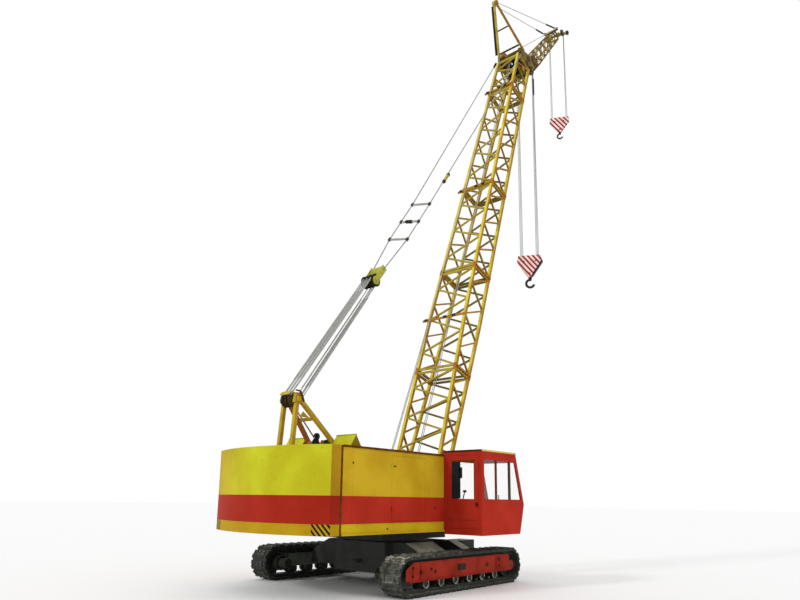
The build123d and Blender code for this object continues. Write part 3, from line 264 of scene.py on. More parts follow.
class Coat:
    """A finish in the making: its material, and the steps that its colour is built from.
    Places are in metres in the model's frame, and amounts run from 0 to 1."""

    def __init__(self, name, roughness, metallic=0.0, **more):
        self.material = bpy.data.materials.new(name)
        self.material.use_nodes = True
        self.tree = self.material.node_tree
        self.shader = self.tree.nodes["Principled BSDF"]
        for socket, value in {"Roughness": roughness, "Metallic": metallic, **more}.items():
            self.shader.inputs[socket.replace("_", " ")].default_value = value
        self.place = node(self.tree, "ShaderNodeTexCoord").outputs["Object"]
        self.x, self.y, self.z = node(self.tree, "ShaderNodeSeparateXYZ", {0: self.place}).outputs

    def step(self, operation, first, second=0.0):
        """One arithmetic step on two values."""
        return node(self.tree, "ShaderNodeMath", {0: first, 1: second}, operation=operation).outputs[0]

    def times(self, first, second):
        """The product of two values: where both hold."""
        return self.step("MULTIPLY", first, second)

    def above(self, value, limit=0.0):
        """1 where a value is over a limit."""
        return self.step("GREATER_THAN", value, limit)

    def below(self, value, limit=0.0):
        """1 where a value is under a limit."""
        return self.step("LESS_THAN", value, limit)

    def size(self, value):
        """A value without its sign."""
        return self.step("ABSOLUTE", value)

    def vector(self, operation, first, second):
        """One step on two vectors, as the node that does it."""
        return node(self.tree, "ShaderNodeVectorMath", {0: first, 1: second}, operation=operation)

    def along(self, vector, direction):
        """How far a vector reaches in a direction: their dot product."""
        return self.vector("DOT_PRODUCT", vector, direction).outputs["Value"]

    def ramp(self, value, low, high, first=0.0, last=1.0):
        """Runs evenly from first to last while a value goes from low to high."""
        inputs = {"Value": value, "From Min": low, "From Max": high, "To Min": first, "To Max": last}
        return node(self.tree, "ShaderNodeMapRange", inputs).outputs[0]

    def facing(self, direction, low, high):
        """0 to 1 as a surface turns from low to high towards a direction of the object."""
        normal = node(self.tree, "ShaderNodeTexCoord").outputs["Normal"]
        return self.ramp(self.along(normal, direction), low, high)

    def slanting(self, direction, share):
        """1 on slanting bars, 0 between them; the direction's length is bars per metre."""
        return self.below(self.step("FRACT", self.along(self.place, direction)), share)

    def noise(self, scale, detail):
        """Soft noise at a scale per metre."""
        inputs = {"Vector": self.place, "Scale": scale, "Detail": detail}
        return node(self.tree, "ShaderNodeTexNoise", inputs).outputs["Fac"]

    def patches(self, size, low=0.4, high=0.68):
        """How strongly worn each place is, 0 to 1, in soft patches of a size in metres."""
        return self.ramp(self.noise(1 / size, 4.0), low, high)

    def mix(self, first, second, amount, **how):
        """Two colours mixed by an amount, each in hex or made by an earlier step."""
        first, second = (linear(c) if isinstance(c, str) else c for c in (first, second))
        inputs = {0: amount, 6: first, 7: second}
        return node(self.tree, "ShaderNodeMix", inputs, data_type="RGBA", **how).outputs[2]

    def cover(self, colour, height, strength, distance):
        """Joins a colour and an uneven surface to the shader, and gives the material."""
        inputs = {"Height": height, "Strength": strength, "Distance": distance}
        bump = node(self.tree, "ShaderNodeBump", inputs).outputs[0]
        self.tree.links.new(colour, self.shader.inputs["Base Color"])
        self.tree.links.new(bump, self.shader.inputs["Normal"])
        return self.material

    def weathered(self, colour, worn, grime, size):
        """Tints a colour in soft faded patches, lays small spots of grime on it and gives the
        surface the slight waviness of sprayed paint on sheet."""
        faded = self.times(self.patches(size), 0.8)
        tinted = self.mix(colour, worn, faded, blend_type="MULTIPLY")
        spots = self.times(self.patches(size / 9, 0.64, 0.85), 0.4)
        return self.cover(self.mix(tinted, grime, spots), self.noise(1.6, 2.0), 0.25, 0.02)


paint_gloss = {"roughness": 0.55, "Specular_IOR_Level": 0.05}
rearward, rightward, upward = (-1.0, 0.0, 0.0), (0.0, -1.0, 0.0), (0.0, 0.0, 1.0)


def enamel(name, base, worn="#E4DCC8", grime="#3A3420", size=0.7):
    """Alkyd enamel on steel: soft gloss, sun-faded patches and small spots of oily dust."""
    return Coat(name, **paint_gloss).weathered(base, worn, grime, size)


def steel(name, base, worn, roughness, metallic, size=0.05):
    """Bare or oily steel: two tones in small patches, and a fine uneven surface."""
    coat = Coat(name, roughness, metallic, Specular_IOR_Level=0.2)
    tone = coat.mix(base, worn, coat.patches(size, 0.45, 0.62))
    return coat.cover(tone, coat.noise(2 / size, 3.0), 0.3, 0.004)


def white(name, roughness, **more):
    """A finish of plain white, which leaves the light its own colour."""
    coat = Coat(name, roughness, **more)
    coat.shader.inputs["Base Color"].default_value = (1, 1, 1, 1)
    return coat.material


def paint_house():
    """Alkyd enamel in three bands, sprayed over sheet. A tint by which way a face looks paints light
    and shade: lemon above on the faces that look back, warmer on the sides. The tail's faces that turn
    away from the back are darkened as painted shade, and the lower rear corners carry slanting black
    warning bars."""
    coat = Coat("house_enamel", **paint_gloss)
    # painted light and shade: the bands' tones change with which way a face looks, back or to the side
    lit_side = coat.facing((-0.88, -0.47, 0.1), 0.45, 0.9)
    upper = coat.mix("#D3AE26", "#C8CC27", lit_side)
    lower = coat.mix("#D3B61E", "#BC9A18", lit_side)
    crimson = coat.mix("#BA3222", "#A82A1A", lit_side)
    corners = coat.step("MAXIMUM", coat.above(coat.y, 1.5), coat.below(coat.y, -1.56))
    corners = coat.times(corners, coat.below(coat.x, -3.9))
    dark = coat.times(coat.slanting((0.0, 9.5, -7.7), 0.5), corners)
    banded = coat.mix(lower, "#1E1D18", dark)
    for limit, paint in ((red_low, crimson), (red_high, upper)):
        banded = coat.mix(banded, paint, coat.ramp(coat.z, limit - 0.002, limit + 0.002))
    # painted shade: the tail's faces that turn away from the back are darkened
    shaded_tail = coat.times(coat.below(coat.x, tail_joint), coat.step("SUBTRACT", 1.0, lit_side))
    banded = coat.mix(banded, "#D8C8C0", coat.times(shaded_tail, 0.8), blend_type="MULTIPLY")
    return coat.weathered(banded, "#E6D6B0", "#4A3A1C", 0.9)


def paint_boom():
    """Yellow enamel on the chords and an olive coat on the lacing, lighter on the lacing of the rear
    face, which paints the light that falls there. The rope bars have a rusty tone, and the faces that
    look right are rusty brown as painted shade. A chord is where a place is near a corner of the box
    that tapers from the boom's foot to its head."""
    coat = Coat("boom_enamel", **paint_gloss)
    offset = coat.vector("SUBTRACT", coat.place, tuple(boom_foot)).outputs[0]
    along, out = (coat.along(offset, tuple(direction)) for direction in (boom_lift, boom_out))
    reach = 0.055  # a chord's half width and its weld
    half_width = coat.ramp(along, 0.0, boom_length, boom_wide_low - reach, boom_wide_high - reach)
    half_depth = coat.ramp(along, 0.0, boom_deep_from, boom_deep_low - reach, boom_deep_high - reach)
    on_side = coat.above(coat.size(coat.y), half_width)
    on_face = coat.above(coat.size(out), half_depth)
    # painted light: the lacing of the rear face, where the key light falls, is lighter than the rest
    lacing = coat.mix("#6E662C", "#B0A040", coat.times(coat.below(out), on_face))
    paint = coat.mix(lacing, "#DED24C", coat.times(on_side, on_face))
    paint = coat.mix(paint, "#B07E2A", coat.below(out, -0.4585))
    # painted shade: the faces that look right, away from the key light, are rusty brown
    paint = coat.mix(paint, "#B5832C", coat.facing((0.25, -0.95, -0.15), 0.3, 0.8))
    return coat.weathered(paint, "#D8C8A0", "#4A3C18", 0.35)


def paint_jib():
    """Olive enamel worn in patches, red with rust at the jib's root and black at its tip."""
    coat = Coat("jib_enamel", **paint_gloss)
    offset = coat.vector("SUBTRACT", coat.place, tuple(jib_foot)).outputs[0]
    along = coat.along(offset, tuple(jib_lift))
    at_root, at_tip = coat.below(along, 0.61), coat.above(along, 5.35)
    root = coat.mix("#7A6A2C", "#5C2A1E", coat.times(at_root, coat.patches(0.25, 0.35, 0.6)))
    olive = coat.mix("#B4993C", "#6E6430", coat.patches(0.3, 0.4, 0.55))
    tone = coat.mix(coat.mix(olive, root, at_root), "#14150F", at_tip)
    return coat.weathered(tone, "#B89068", "#2A2618", 0.2)


def paint_boom_head():
    """Olive and brown enamel in patches, with red primer that shows through in spots."""
    coat = Coat("head_enamel", **paint_gloss)
    tone = coat.mix("#8A7A30", "#40361A", coat.patches(0.3, 0.42, 0.56))
    tone = coat.mix(tone, "#6E2C20", coat.patches(0.22, 0.6, 0.66))
    return coat.weathered(tone, "#B8A880", "#2A2618", 0.2)


def paint_strut():
    """A brown right leg, a faded yellow left leg and dark bars between them. The legs close
    in from their feet to the strut's apex."""
    coat = Coat("strut_enamel", **paint_gloss)
    leg_place = coat.ramp(coat.z, 19.23, strut_apex[2], 0.49, -0.03)
    tone = coat.mix("#98702A", "#B8AA48", coat.above(coat.y))
    tone = coat.mix(tone, "#4A4B40", coat.below(coat.size(coat.y), leg_place))
    return coat.weathered(tone, "#C8B890", "#2A2618", 0.15)


def paint_gantry():
    """Yellow enamel, browner on what looks forward, right and down, away from the key light, as painted
    shade; rusty on the front left leg.
    """
    coat = Coat("gantry_enamel", **paint_gloss)
    # painted shade: browner on the faces that look away from the key light
    tone = coat.mix("#C4AE38", "#B5852C", coat.facing((0.75, -0.5, -0.4), 0.2, 0.7))
    front_left = coat.times(coat.above(coat.y, 0.15), coat.above(coat.x, -3.3))
    tone = coat.mix(tone, "#A5683C", front_left)
    return coat.weathered(tone, "#D8CCA0", "#3A3418", 0.3)


def paint_cab():
    """Red enamel, darker on the faces that look back, as painted shade."""
    coat = Coat("cab_enamel", **paint_gloss)
    # painted shade: a darker red on the faces that look back
    tone = coat.mix("#BC2E1C", "#AC2E1E", coat.facing(rearward, 0.5, 0.9))
    return coat.weathered(tone, "#E4CCC0", "#3C1410", 0.6)


def paint_cab_roof():
    """Faded yellow on the top and the right, red elsewhere, dark on the rear edge."""
    coat = Coat("roof_enamel", **paint_gloss)
    tone = coat.mix("#BC2E1C", "#D8CC60", coat.facing((0.0, -0.9, 0.43), 0.2, 0.5))
    tone = coat.mix(tone, "#3A2220", coat.facing(rearward, 0.5, 0.9))
    return coat.weathered(tone, "#E4DCC8", "#3C1410", 0.4)


def paint_track_frames():
    """Red enamel on the outer faces of the cover panels and dark grey on every other face, which
    paints the shade inside the frame. The left track's grey is paler, as painted light on its shaded side."""
    coat = Coat("frame_enamel", **paint_gloss)
    left, right = coat.above(coat.y), coat.below(coat.y)
    panel = coat.ramp(coat.size(coat.y), cover_face - 0.024, cover_face - 0.02)
    left_face = coat.times(coat.facing((0.0, 1.0, 0.0), 0.3, 0.6), left)
    right_face = coat.times(coat.facing(rightward, 0.3, 0.6), right)
    panel = coat.times(panel, coat.step("ADD", left_face, right_face))
    # painted shade and light: grey behind the panels' outer faces, paler on the left track
    tone = coat.mix(coat.mix("#3F4439", "#6A7066", left), "#A4301F", panel)
    return coat.weathered(tone, "#C8B8A8", "#2A1A14", 0.3)


def paint_hood():
    """Lemon enamel, darker on the side that looks right, as painted shade."""
    coat = Coat("hood_enamel", **paint_gloss)
    # painted shade: darker where the hood looks right
    tone = coat.mix("#CDD030", "#8A7C20", coat.facing(rightward, 0.5, 0.9))
    return coat.weathered(tone, "#E4DCC0", "#3A3420", 0.5)


def paint_hook_blocks():
    """Red and white warning bars that run down to the right."""
    coat = Coat("striped_enamel", **paint_gloss)
    tone = coat.mix("#F2EFEA", "#B3282A", coat.slanting((0.0, 6.1, -4.35), 0.5))
    return coat.weathered(tone, "#E0D8D0", "#4A3C38", 0.3)


def cast_tracks():
    """Cast shoes, dark and dull. A pale painted highlight lies on the right track, on what looks up and
    back, and stronger towards the rear and the top."""
    coat = Coat("cast_track_steel", 0.7, 0.2)
    # painted highlight: pale on the right track's shoes where they look up and back
    painted_highlight = coat.times(coat.facing(rearward, 0.4, 1.1), 0.3)
    painted_highlight = coat.step("MAXIMUM", coat.facing(upward, 0.4, 0.9), painted_highlight)
    painted_highlight = coat.times(painted_highlight, coat.below(coat.y))
    painted_highlight = coat.times(painted_highlight, coat.step("ADD", 0.3, coat.patches(0.12, 0.4, 0.7)))
    painted_highlight = coat.times(painted_highlight, coat.ramp(coat.x, -1.9, 0.8, 1.3, 0.25))
    painted_highlight = coat.times(painted_highlight, coat.ramp(coat.z, 0.3, 0.8, 0.35, 1.0))
    return coat.weathered(coat.mix("#30342B", "#E6E6DA", painted_highlight), "#B0B0A0", "#1A1B16", 0.1)


def paint_carbody():
    """Dull dark grey, with pale painted light on the sloping shoulders of the beams."""
    coat = Coat("grey_paint_with_painted_light", 0.75)
    # painted light: the beams' sloping shoulders, shaded under the house, are painted pale as if lit
    painted_highlight = coat.times(coat.above(coat.size(coat.y), 1.3), coat.facing(upward, 0.6, 0.9))
    return coat.weathered(coat.mix("#3A3C38", "#C4C4B2", painted_highlight), "#C8C8B8", "#1E1F1A", 0.3)


def paint_bridle():
    """Yellow forks, and dark grease round the spool between them."""
    coat = Coat("bridle_paint", **paint_gloss)
    spool = on_falls(falls_length, 0.0, 0.0) * [1, 0, 1]
    flat = coat.vector("MULTIPLY", coat.place, (1.0, 0.0, 1.0)).outputs[0]
    gap = coat.vector("DISTANCE", flat, tuple(spool)).outputs["Value"]
    greased = coat.times(coat.below(gap, 0.18), coat.below(coat.size(coat.y), 0.197))
    return coat.weathered(coat.mix("#BCB850", "#2A2E1C", greased), "#C8C8B0", "#1E1F1A", 0.15)


def grease_pendants():
    """Grey greased rope, with painted bars at the pendants' upper ends."""
    coat = Coat("pendant_steel", 0.45, 0.4, Specular_IOR_Level=0.2)
    tone = coat.mix("#9C9C98", "#5C5428", coat.above(coat.z, 18.85))
    return coat.weathered(tone, "#C8C8C4", "#3A3A38", 0.1)


# Paints: soft gloss, so that the sheets keep their colour in the light
house_enamel = paint_house()
boom_enamel = paint_boom()
gantry_enamel = paint_gantry()
hood_enamel = paint_hood()
track_steel = cast_tracks()
orange_enamel = enamel("orange_enamel", "#C07A28", "#D8C8A8", size=0.2)
cover_enamel = enamel("cover_enamel", "#9A2C1C", "#C8A898", "#2A1A14", 0.3)
brown_edge = enamel("browned_sheet_edge", "#6E420E", "#A89070", "#2A1A14", 0.1)
cover_grime = enamel("grimy_red_paint", "#54201A", "#907870", "#2A1A14", 0.1)

# Metals: the greased ones dull and dark, the bolts brighter where shoes rub them, and bright rings that
# paint the highlights on the rollers
wire_rope = steel("greased_wire_rope", "#B2B2AE", "#94948F", 0.5, 0.3, 0.02)
dark_steel = steel("dark_painted_steel", "#26281F", "#34362C", 0.5, 0.1, 0.12)
rim_highlight_steel = steel("roller_rim_painted_highlight", "#A4A69C", "#3C3E38", 0.45, 0.2, 0.1)
machined_steel = steel("worn_bright_steel", "#8C8E88", "#6A6C66", 0.35, 0.7, 0.04)
greased_iron = steel("greased_sheave_iron", "#4D4229", "#33291A", 0.6, 0.1, 0.06)
rust_brown = steel("rusted_fitting", "#6A3A26", "#4C2E22", 0.6, 0.2, 0.03)
oily_black = steel("oily_black_steel", "#121310", "#1E1F1A", 0.5, 0.2, 0.05)

# Cab fittings: a matt dark lining that paints the shade inside the cab, vinyl, and glass with a sharp
# reflection
painted_shade_lining = steel("painted_shade_door_lining", "#141C26", "#10161C", 0.9, 0.0, 0.1)
vinyl = steel("seat_vinyl", "#1C1D20", "#2A2B2E", 0.6, 0.0, 0.03)
glass = white("float_glass", 0.02, Transmission_Weight=1.0, IOR=1.45)

# The CAD's nodes: a look for each name, and else for each kind of name
cab_enamel, frame_enamel = paint_cab(), paint_track_frames()
block_enamel = paint_hook_blocks()
looks = {
    "track_l": track_steel,
    "track_r": track_steel,
    "sprockets": track_steel,
    "track_frame_l": frame_enamel,
    "track_frame_r": frame_enamel,
    "carbody": paint_carbody(),
    "roof_hood": hood_enamel,
    "cab_shell": cab_enamel,
    "cab_door": cab_enamel,
    "cab_roof": paint_cab_roof(),
    "cab_glass": glass,
    "door_glass": glass,
    "cab_seat": vinyl,
    "gantry_sheaves": greased_iron,
    "boom_head_frame": paint_boom_head(),
    "jib": paint_jib(),
    "jib_strut": paint_strut(),
    "jib_stays": wire_rope,
    "bridle": paint_bridle(),
    "pendants": grease_pendants(),
    "main_block": block_enamel,
    "aux_block": block_enamel,
}
kinds = {"house": house_enamel, "boom": boom_enamel, "gantry": gantry_enamel}
for name, cad in nodes.items():
    look = looks.get(name, kinds.get(name.split("_")[0], dark_steel))
    if "falls" in name:
        look = wire_rope
    cad.data.materials.clear()
    cad.data.materials.append(look)

# Stage: a pale floor and a white surround that mirrors and windows see as well
stage_half = 200.0
corners = [(x * stage_half, y * stage_half, 0) for x, y in ((-1, -1), (1, -1), (1, 1), (-1, 1))]
floor_mesh = bpy.data.meshes.new("floor")
floor_mesh.from_pydata(corners, [], [(0, 1, 2, 3)])
floor_mesh.materials.append(white("pale_floor", 0.95, Specular_IOR_Level=0.1))
floor = bpy.data.objects.new("floor", floor_mesh)
bpy.context.scene.collection.objects.link(floor)

fill_strength, white_level = 0.84, 1.0
world = bpy.data.worlds.new("studio")
world.use_nodes = True
bpy.context.scene.world = world
tree = world.node_tree
paths = node(tree, "ShaderNodeLightPath").outputs
seen = paths["Is Camera Ray"]
for ray in ("Is Glossy Ray", "Is Transmission Ray"):
    seen = node(tree, "ShaderNodeMath", {0: seen, 1: paths[ray]}, operation="MAXIMUM").outputs[0]
level = node(tree, "ShaderNodeMapRange", {"Value": seen, "To Min": fill_strength, "To Max": white_level})
tree.links.new(level.outputs[0], tree.nodes["Background"].inputs["Strength"])
tree.nodes["Background"].inputs["Color"].default_value = (1, 1, 1, 1)

key = bpy.data.lights.new("key", "SUN")
key.energy, key.angle = 0.7, radians(8)
key_object = bpy.data.objects.new("key", key)
key_object.rotation_euler = Vector((0.8, -0.28, -0.55)).to_track_quat("-Z", "Y").to_euler()
bpy.context.scene.collection.objects.link(key_object)

# Camera, from the fit to the photograph, in its pixels
picture_width, picture_height = 800, 600
focal_length, centre_row, sensor = 644.3, 374.4, 36.0
lens = bpy.data.cameras.new("camera")
lens.sensor_width = sensor
lens.lens = focal_length / picture_width * sensor
lens.shift_y = (centre_row - picture_height / 2) / picture_width
lens.clip_end = 500
yaw, pitch, roll = radians(40.70), radians(10.99), radians(0.76)
ahead = Vector((cos(yaw) * cos(pitch), sin(yaw) * cos(pitch), sin(pitch)))
right = ahead.cross(Vector((0, 0, 1))).normalized()
up = right.cross(ahead)
rows = (right * cos(roll) + up * sin(roll), up * cos(roll) - right * sin(roll), -ahead)
camera = bpy.data.objects.new("camera", lens)
camera.matrix_world = Matrix.Translation((-12.96, -11.49, 2.05)) @ Matrix(rows).transposed().to_4x4()
bpy.context.scene.collection.objects.link(camera)
bpy.context.scene.camera = camera
bpy.context.scene.view_settings.view_transform = "Standard"

# House trim: joint covers, gutters, seams, handles and the guards on the roof
trim_rear = -3.6
tail_covers = [
    ((tail_joint - 0.03, house_half, house_low), (tail_joint + 0.02, house_half + 0.006, house_high)),
]
show("tail_joint_covers", *mirrored(*boxes(tail_covers)), brown_edge, "upper", "dark_steel")
gutters = [
    ((trim_rear, house_half, house_high - 0.035), (house_front, house_half + 0.022, house_high + 0.012)),
]
show("side_gutters", *mirrored(*boxes(gutters)), brown_edge, "upper", "dark_steel")
ledges = [
    ((trim_rear, house_half, house_low), (house_front, house_half + 0.03, house_low + 0.035)),
    ((trim_rear, house_half, red_low - 0.012), (house_front, house_half + 0.008, red_low)),
    ((-3.306, house_half, red_low), (-3.294, house_half + 0.003, house_high - 0.04)),
]
show("side_ledges", *mirrored(*boxes(ledges)), house_enamel, "upper", "yellow_paint")
plug_places = [(-2.2, 1.42), (-0.51, 1.86), (-3.3, 2.79)]
plugs = rods([((x, house_half, z), (x, house_half + 0.012, z)) for x, z in plug_places], 0.02)
show("side_plugs", *mirrored(*plugs), dark_steel, "upper", "dark_steel")
for side, sign in (("l", 1), ("r", -1)):
    y0, y1 = sorted((sign * (house_half + 0.001), sign * (house_half + 0.03)))
    grips = boxes([((-2.02, y0, 2.77), (-1.94, y1, 2.79))])
    bevelled(show(f"door_grips_{side}", *grips, brown_edge, f"house_door_{side}", "dark_steel"), 0.006)
rims = ((-1, -1, 1, -0.72), (-1, 0.72, 1, 1), (-1, -0.72, -0.78, 0.72), (0.78, -0.72, 1, 0.72))
leg_collars = []
for x, y, half_x, half_y in ((-3.549, 0.22, 0.1, 0.1), (-2.272, 0.457, 0.17, 0.11)):
    for rear, right_edge, front, left_edge in rims:
        low = (x + rear * half_x, y + right_edge * half_y, house_high)
        leg_collars.append((low, (x + front * half_x, y + left_edge * half_y, house_high + 0.03)))
show("leg_collars", *mirrored(*boxes(leg_collars)), dark_steel, "upper", "dark_steel")
ridges = [((-2.49, 0.53, 3.5), (-2.45, 1.19, 3.512))]
show("hood_ridges", *mirrored(*boxes(ridges)), hood_enamel, "upper", "yellow_paint")

# Rope guides on the roof and the ropes that come down to them
guide_places = [(-2.61, 3.50), (-2.80, 3.22), (-2.42, 3.22)]
sheave_profile = [(0.02, -0.025), (0.08, -0.025), (0.08, -0.018), (0.062, -0.004)]
sheave_profile += [(0.062, 0.004), (0.08, 0.018), (0.08, 0.025), (0.02, 0.025)]
guides = together(*[lathe(sheave_profile, (x, 0.0, z)) for x, z in guide_places])
show("roof_guide_sheaves", *guides, oily_black, "upper", "dark_steel")
cheek = [(-2.66, house_high), (-2.56, house_high), (-2.59, 3.53), (-2.63, 3.53)]
guide_cheeks = [plate([(x, y, z) for x, z in cheek], 0.01) for y in (-0.045, 0.045)]
guide_cheeks.append(boxes([((-2.95, -0.12, house_high), (-2.3, 0.12, house_high + 0.03))]))
guide_pins = rods([((x, -0.06, z), (x, 0.06, z)) for x, z in guide_places], 0.02)
show("roof_guide_cheeks", *together(*guide_cheeks, guide_pins), dark_steel, "upper", "dark_steel")
low_guides = [
    ((-2.80, -0.1, house_high), (-2.56, 0.12, 3.37)),
    ((-2.50, -0.1, house_high), (-2.22, 0.0, 3.42)),
]
bevelled(show("roof_guide_feet", *boxes(low_guides), orange_enamel, "upper", "yellow_paint"), 0.03)
low_wheels = rods([((x, -0.13, 3.34), (x, -0.1, 3.34)) for x in (-2.74, -2.38)], 0.1, 16)
show("roof_guide_caps", *low_wheels, oily_black, "upper", "dark_steel")
leads = rods([((-3.34, y, 4.13), (-2.67, y, 3.44)) for y in (-0.015, 0.015)], 0.011)
show("roof_guide_ropes", *leads, wire_rope, "upper", "rope_steel")


# Gantry: sheave guard, side bracket, retaining arc and axle nuts
def sheave_guard(outer, inner, half_width, first, last, steps=12):
    """A curved sheet over the gantry's sheaves, from one angle in degrees to another: two
    arcs of radius outer and inner make its side, and the sides are joined all round."""
    turn = np.radians(np.linspace(first, last, steps))
    arcs = [np.stack([gantry_x + r * np.cos(turn), gantry_z + r * np.sin(turn)], 1) for r in (outer, inner)]
    outline = np.concatenate([arcs[0], arcs[1][::-1]])
    count = len(outline)
    points = np.concatenate([np.insert(outline, 1, y, axis=1) for y in (-half_width, half_width)])
    faces = [(i, (i + 1) % count, count + (i + 1) % count, count + i) for i in range(count)]
    for i in range(steps - 1):
        faces.append((i + 1, i, count - 1 - i, count - 2 - i))
        faces.append((count + i, count + i + 1, 2 * count - 2 - i, 2 * count - 1 - i))
    return points, faces


guard = sheave_guard(0.215, 0.207, 0.17, 112, 152)
show("gantry_sheave_guard", *guard, gantry_enamel, "upper", "yellow_paint")
bracket = plate([(-3.10, -0.272, 3.87), (-3.40, -0.272, 3.87), (-3.30, -0.272, 4.0)], 0.012)
show("gantry_bracket", *bracket, gantry_enamel, "upper", "yellow_paint")
stops = [(-3.56, -0.31, 4.46), (-3.44, -0.31, 4.455), (-3.38, -0.31, 4.36), (-3.32, -0.31, 4.22)]
stop_bar = bars(list(zip(stops, stops[1:])), 0.04, 0.03)
show("gantry_arcs", *stop_bar, rust_brown, "upper", "dark_steel")
nuts = rods([((gantry_x, 0.285, gantry_z), (gantry_x, 0.325, gantry_z))], 0.06, 6)
show("gantry_nuts", *mirrored(*nuts), gantry_enamel, "upper", "dark_steel")

# Boom joints: an orange collar and a cross pin on each chord
joint_spots = [share * boom_length for share in (0.2403, 0.4371, 0.629, 0.8903)]
collars, pins = [], []
for along in joint_spots:
    wide, deep = boom_half(along)
    for out in (-deep, deep):
        for sign in (-1, 1):
            collars.append([on_boom(along + step, out, sign * wide) for step in (-0.11, 0.11)])
            pins.append([on_boom(along, out, sign * (wide + step)) for step in (-0.075, 0.075)])
show("boom_joint_collars", *bars(collars, 0.104, 0.104), orange_enamel, "boom", "yellow_paint")
show("boom_joint_pins", *rods(pins, 0.024, 8), dark_steel, "boom", "dark_steel")

# Hoist ropes: one pair down from the rope bars into the roof, one from a drum up the boom
hoist_radius, bar_gap = 0.012, 0.06
bar_spots = [share * boom_length for share in (0.336, 0.6255, 0.8935)]
guard_out = [-boom_half(along)[1] - boom_chord / 2 - bar_gap for along in bar_spots]
route = [on_boom(along, out, y) for along, out, y in zip(bar_spots, guard_out, (0.6, 0.45, 0.38))]
route.append(on_boom(18.75, -0.48, 0.36))
hoist_ropes = rods(list(zip(route, route[1:])), hoist_radius, 8)
show("hoist_ropes", *hoist_ropes, wire_rope, "boom", "rope_steel")
drum = [(0.0, -0.45), (0.17, -0.45), (0.17, -0.43), (0.12, -0.43)]
drum += [(radius, -distance) for radius, distance in drum[::-1]]
show("hoist_drum", *lathe(drum, (0.53, 0.0, 1.7)), oily_black, "upper", "dark_steel")
drum_feet = [((0.33, y - 0.03, 1.6), (0.6, y + 0.03, 1.8)) for y in (-0.5, 0.5)]
show("hoist_drum_feet", *boxes(drum_feet), dark_steel, "upper", "dark_steel")
stations = [on_boom(along, -0.263, 0.0) for along in (0.05, 2.4, 18.4)]
hold = ("upper", "boom", tuple(stations[0]), tuple(stations[1]))
steps = list(zip(stations, stations[1:]))
runs = [(low + [0, y, 0], high + [0, y, 0]) for y in (-0.03, 0.03) for low, high in steps]
show("inner_hoist_rope", *rods(runs, hoist_radius, 8), wire_rope, hold, "rope_steel")
roof_slot = np.array([0.3, 0.25, 3.12])
hold = ("upper", "boom", tuple(roof_slot), tuple(route[0]))
for number, shift in enumerate((-0.05, 0.05)):
    run = [end + [shift * 0.6, shift, 0] for end in (roof_slot, route[0])]
    show(f"winch_rope_{number}", *rods([run], hoist_radius, 8), wire_rope, hold, "rope_steel")
bar_rollers = []
for along, out in zip(bar_spots, guard_out):
    wide = boom_half(along)[0]
    for y in (-wide * 0.5, 0.0, wide + bar_gap):
        bar_rollers.append([on_boom(along, out + 0.005, y + step) for step in (-0.05, 0.05)])
show("rope_bar_rollers", *rods(bar_rollers, 0.042, 12), dark_steel, "boom", "dark_steel")

# Boom head: boxes, shafts, guide sheaves and a rope deflector
guide_along, guide_out = 18.45, -0.2
head_boxes = [((6.70, -0.56, 18.33), (6.90, -0.45, 18.52)), ((7.22, 0.44, 18.34), (7.4, 0.55, 18.52))]
bevelled(show("head_boxes", *boxes(head_boxes), boom_enamel, "boom", "yellow_paint"), 0.012)
head_gear = [[on_boom(guide_along, guide_out, y) for y in (-0.4, 0.4)]]
head_gear.append([on_boom(18.62, 0.1, y) for y in (-0.4, 0.4)])
head_gear += [(on_boom(18.5, -0.3, y), on_boom(18.75, 0.3, y)) for y in (-0.3, 0.3)]
show("head_gear", *rods(head_gear, 0.05, 12), oily_black, "boom", "dark_steel")
wheel = [(0.03, -0.03), (0.16, -0.03), (0.13, 0.0), (0.16, 0.03), (0.03, 0.03)]
guide_wheels = [lathe(wheel, on_boom(guide_along, guide_out, y)) for y in (-0.28, -0.1, 0.1, 0.28)]
show("head_guide_sheaves", *together(*guide_wheels), oily_black, "boom", "dark_steel")
deflector = plate([(6.62, 0.3, 19.22), (6.74, 0.3, 19.5), (6.96, 0.3, 19.5), (6.93, 0.3, 19.3)], 0.1)
show("rope_deflector", *deflector, orange_enamel, "boom", "yellow_paint")

# Turnbuckles on the stays, and the line from the strut's heel to the stay bar
stay_y = 0.28
stay_bar = jib_foot + 3.885 * jib_lift - 0.225 * jib_front
buckles = []
for sign in (-1, 1):
    high, low = strut_apex + [0, sign * 0.09, 0], stay_bar + [0, sign * stay_y, 0]
    buckles.append([high + (low - high) * share for share in (0.8, 0.95)])
show("stay_turnbuckles", *rods(buckles, 0.032, 10), dark_steel, "boom", "dark_steel")
heel_line = rods([((6.86, -0.47, 19.4), tuple(stay_bar + [-0.02, -0.3, 0.03]))], 0.013, 8)
show("heel_line", *heel_line, wire_rope, "boom", "rope_steel")
edge_bar = bars([((6.714, 0.572, 19.471), (5.76, 0.13, 20.84))], 0.09, 0.05)
show("strut_edge_bar", *edge_bar, oily_black, "boom", "dark_steel")
stay_pins = [[stay_bar + [0, y + step, 0.02] for step in (-0.03, 0.03)] for y in (-stay_y, stay_y)]
show("stay_pins", *rods(stay_pins, 0.07, 10), rust_brown, "boom", "dark_steel")


# Hook blocks: the inner ropes, the socket on the right one, pins, wear edge and nuts
def on_block(x, across, z, out=0.0):
    """A point on a turned block, by its distance across it and out of its plane."""
    turned = across * cos(block_turn) + out * sin(block_turn)
    return np.array([x - across * sin(block_turn) + out * cos(block_turn), turned, z])


def fall_ends(top, rope_top, side, rope_low):
    """A main rope from the turned block up to the hoist sheaves' height."""
    return on_block(falls_x, side * rope_low, top), np.array([falls_x + 0.035, side * rope_top, 18.98])


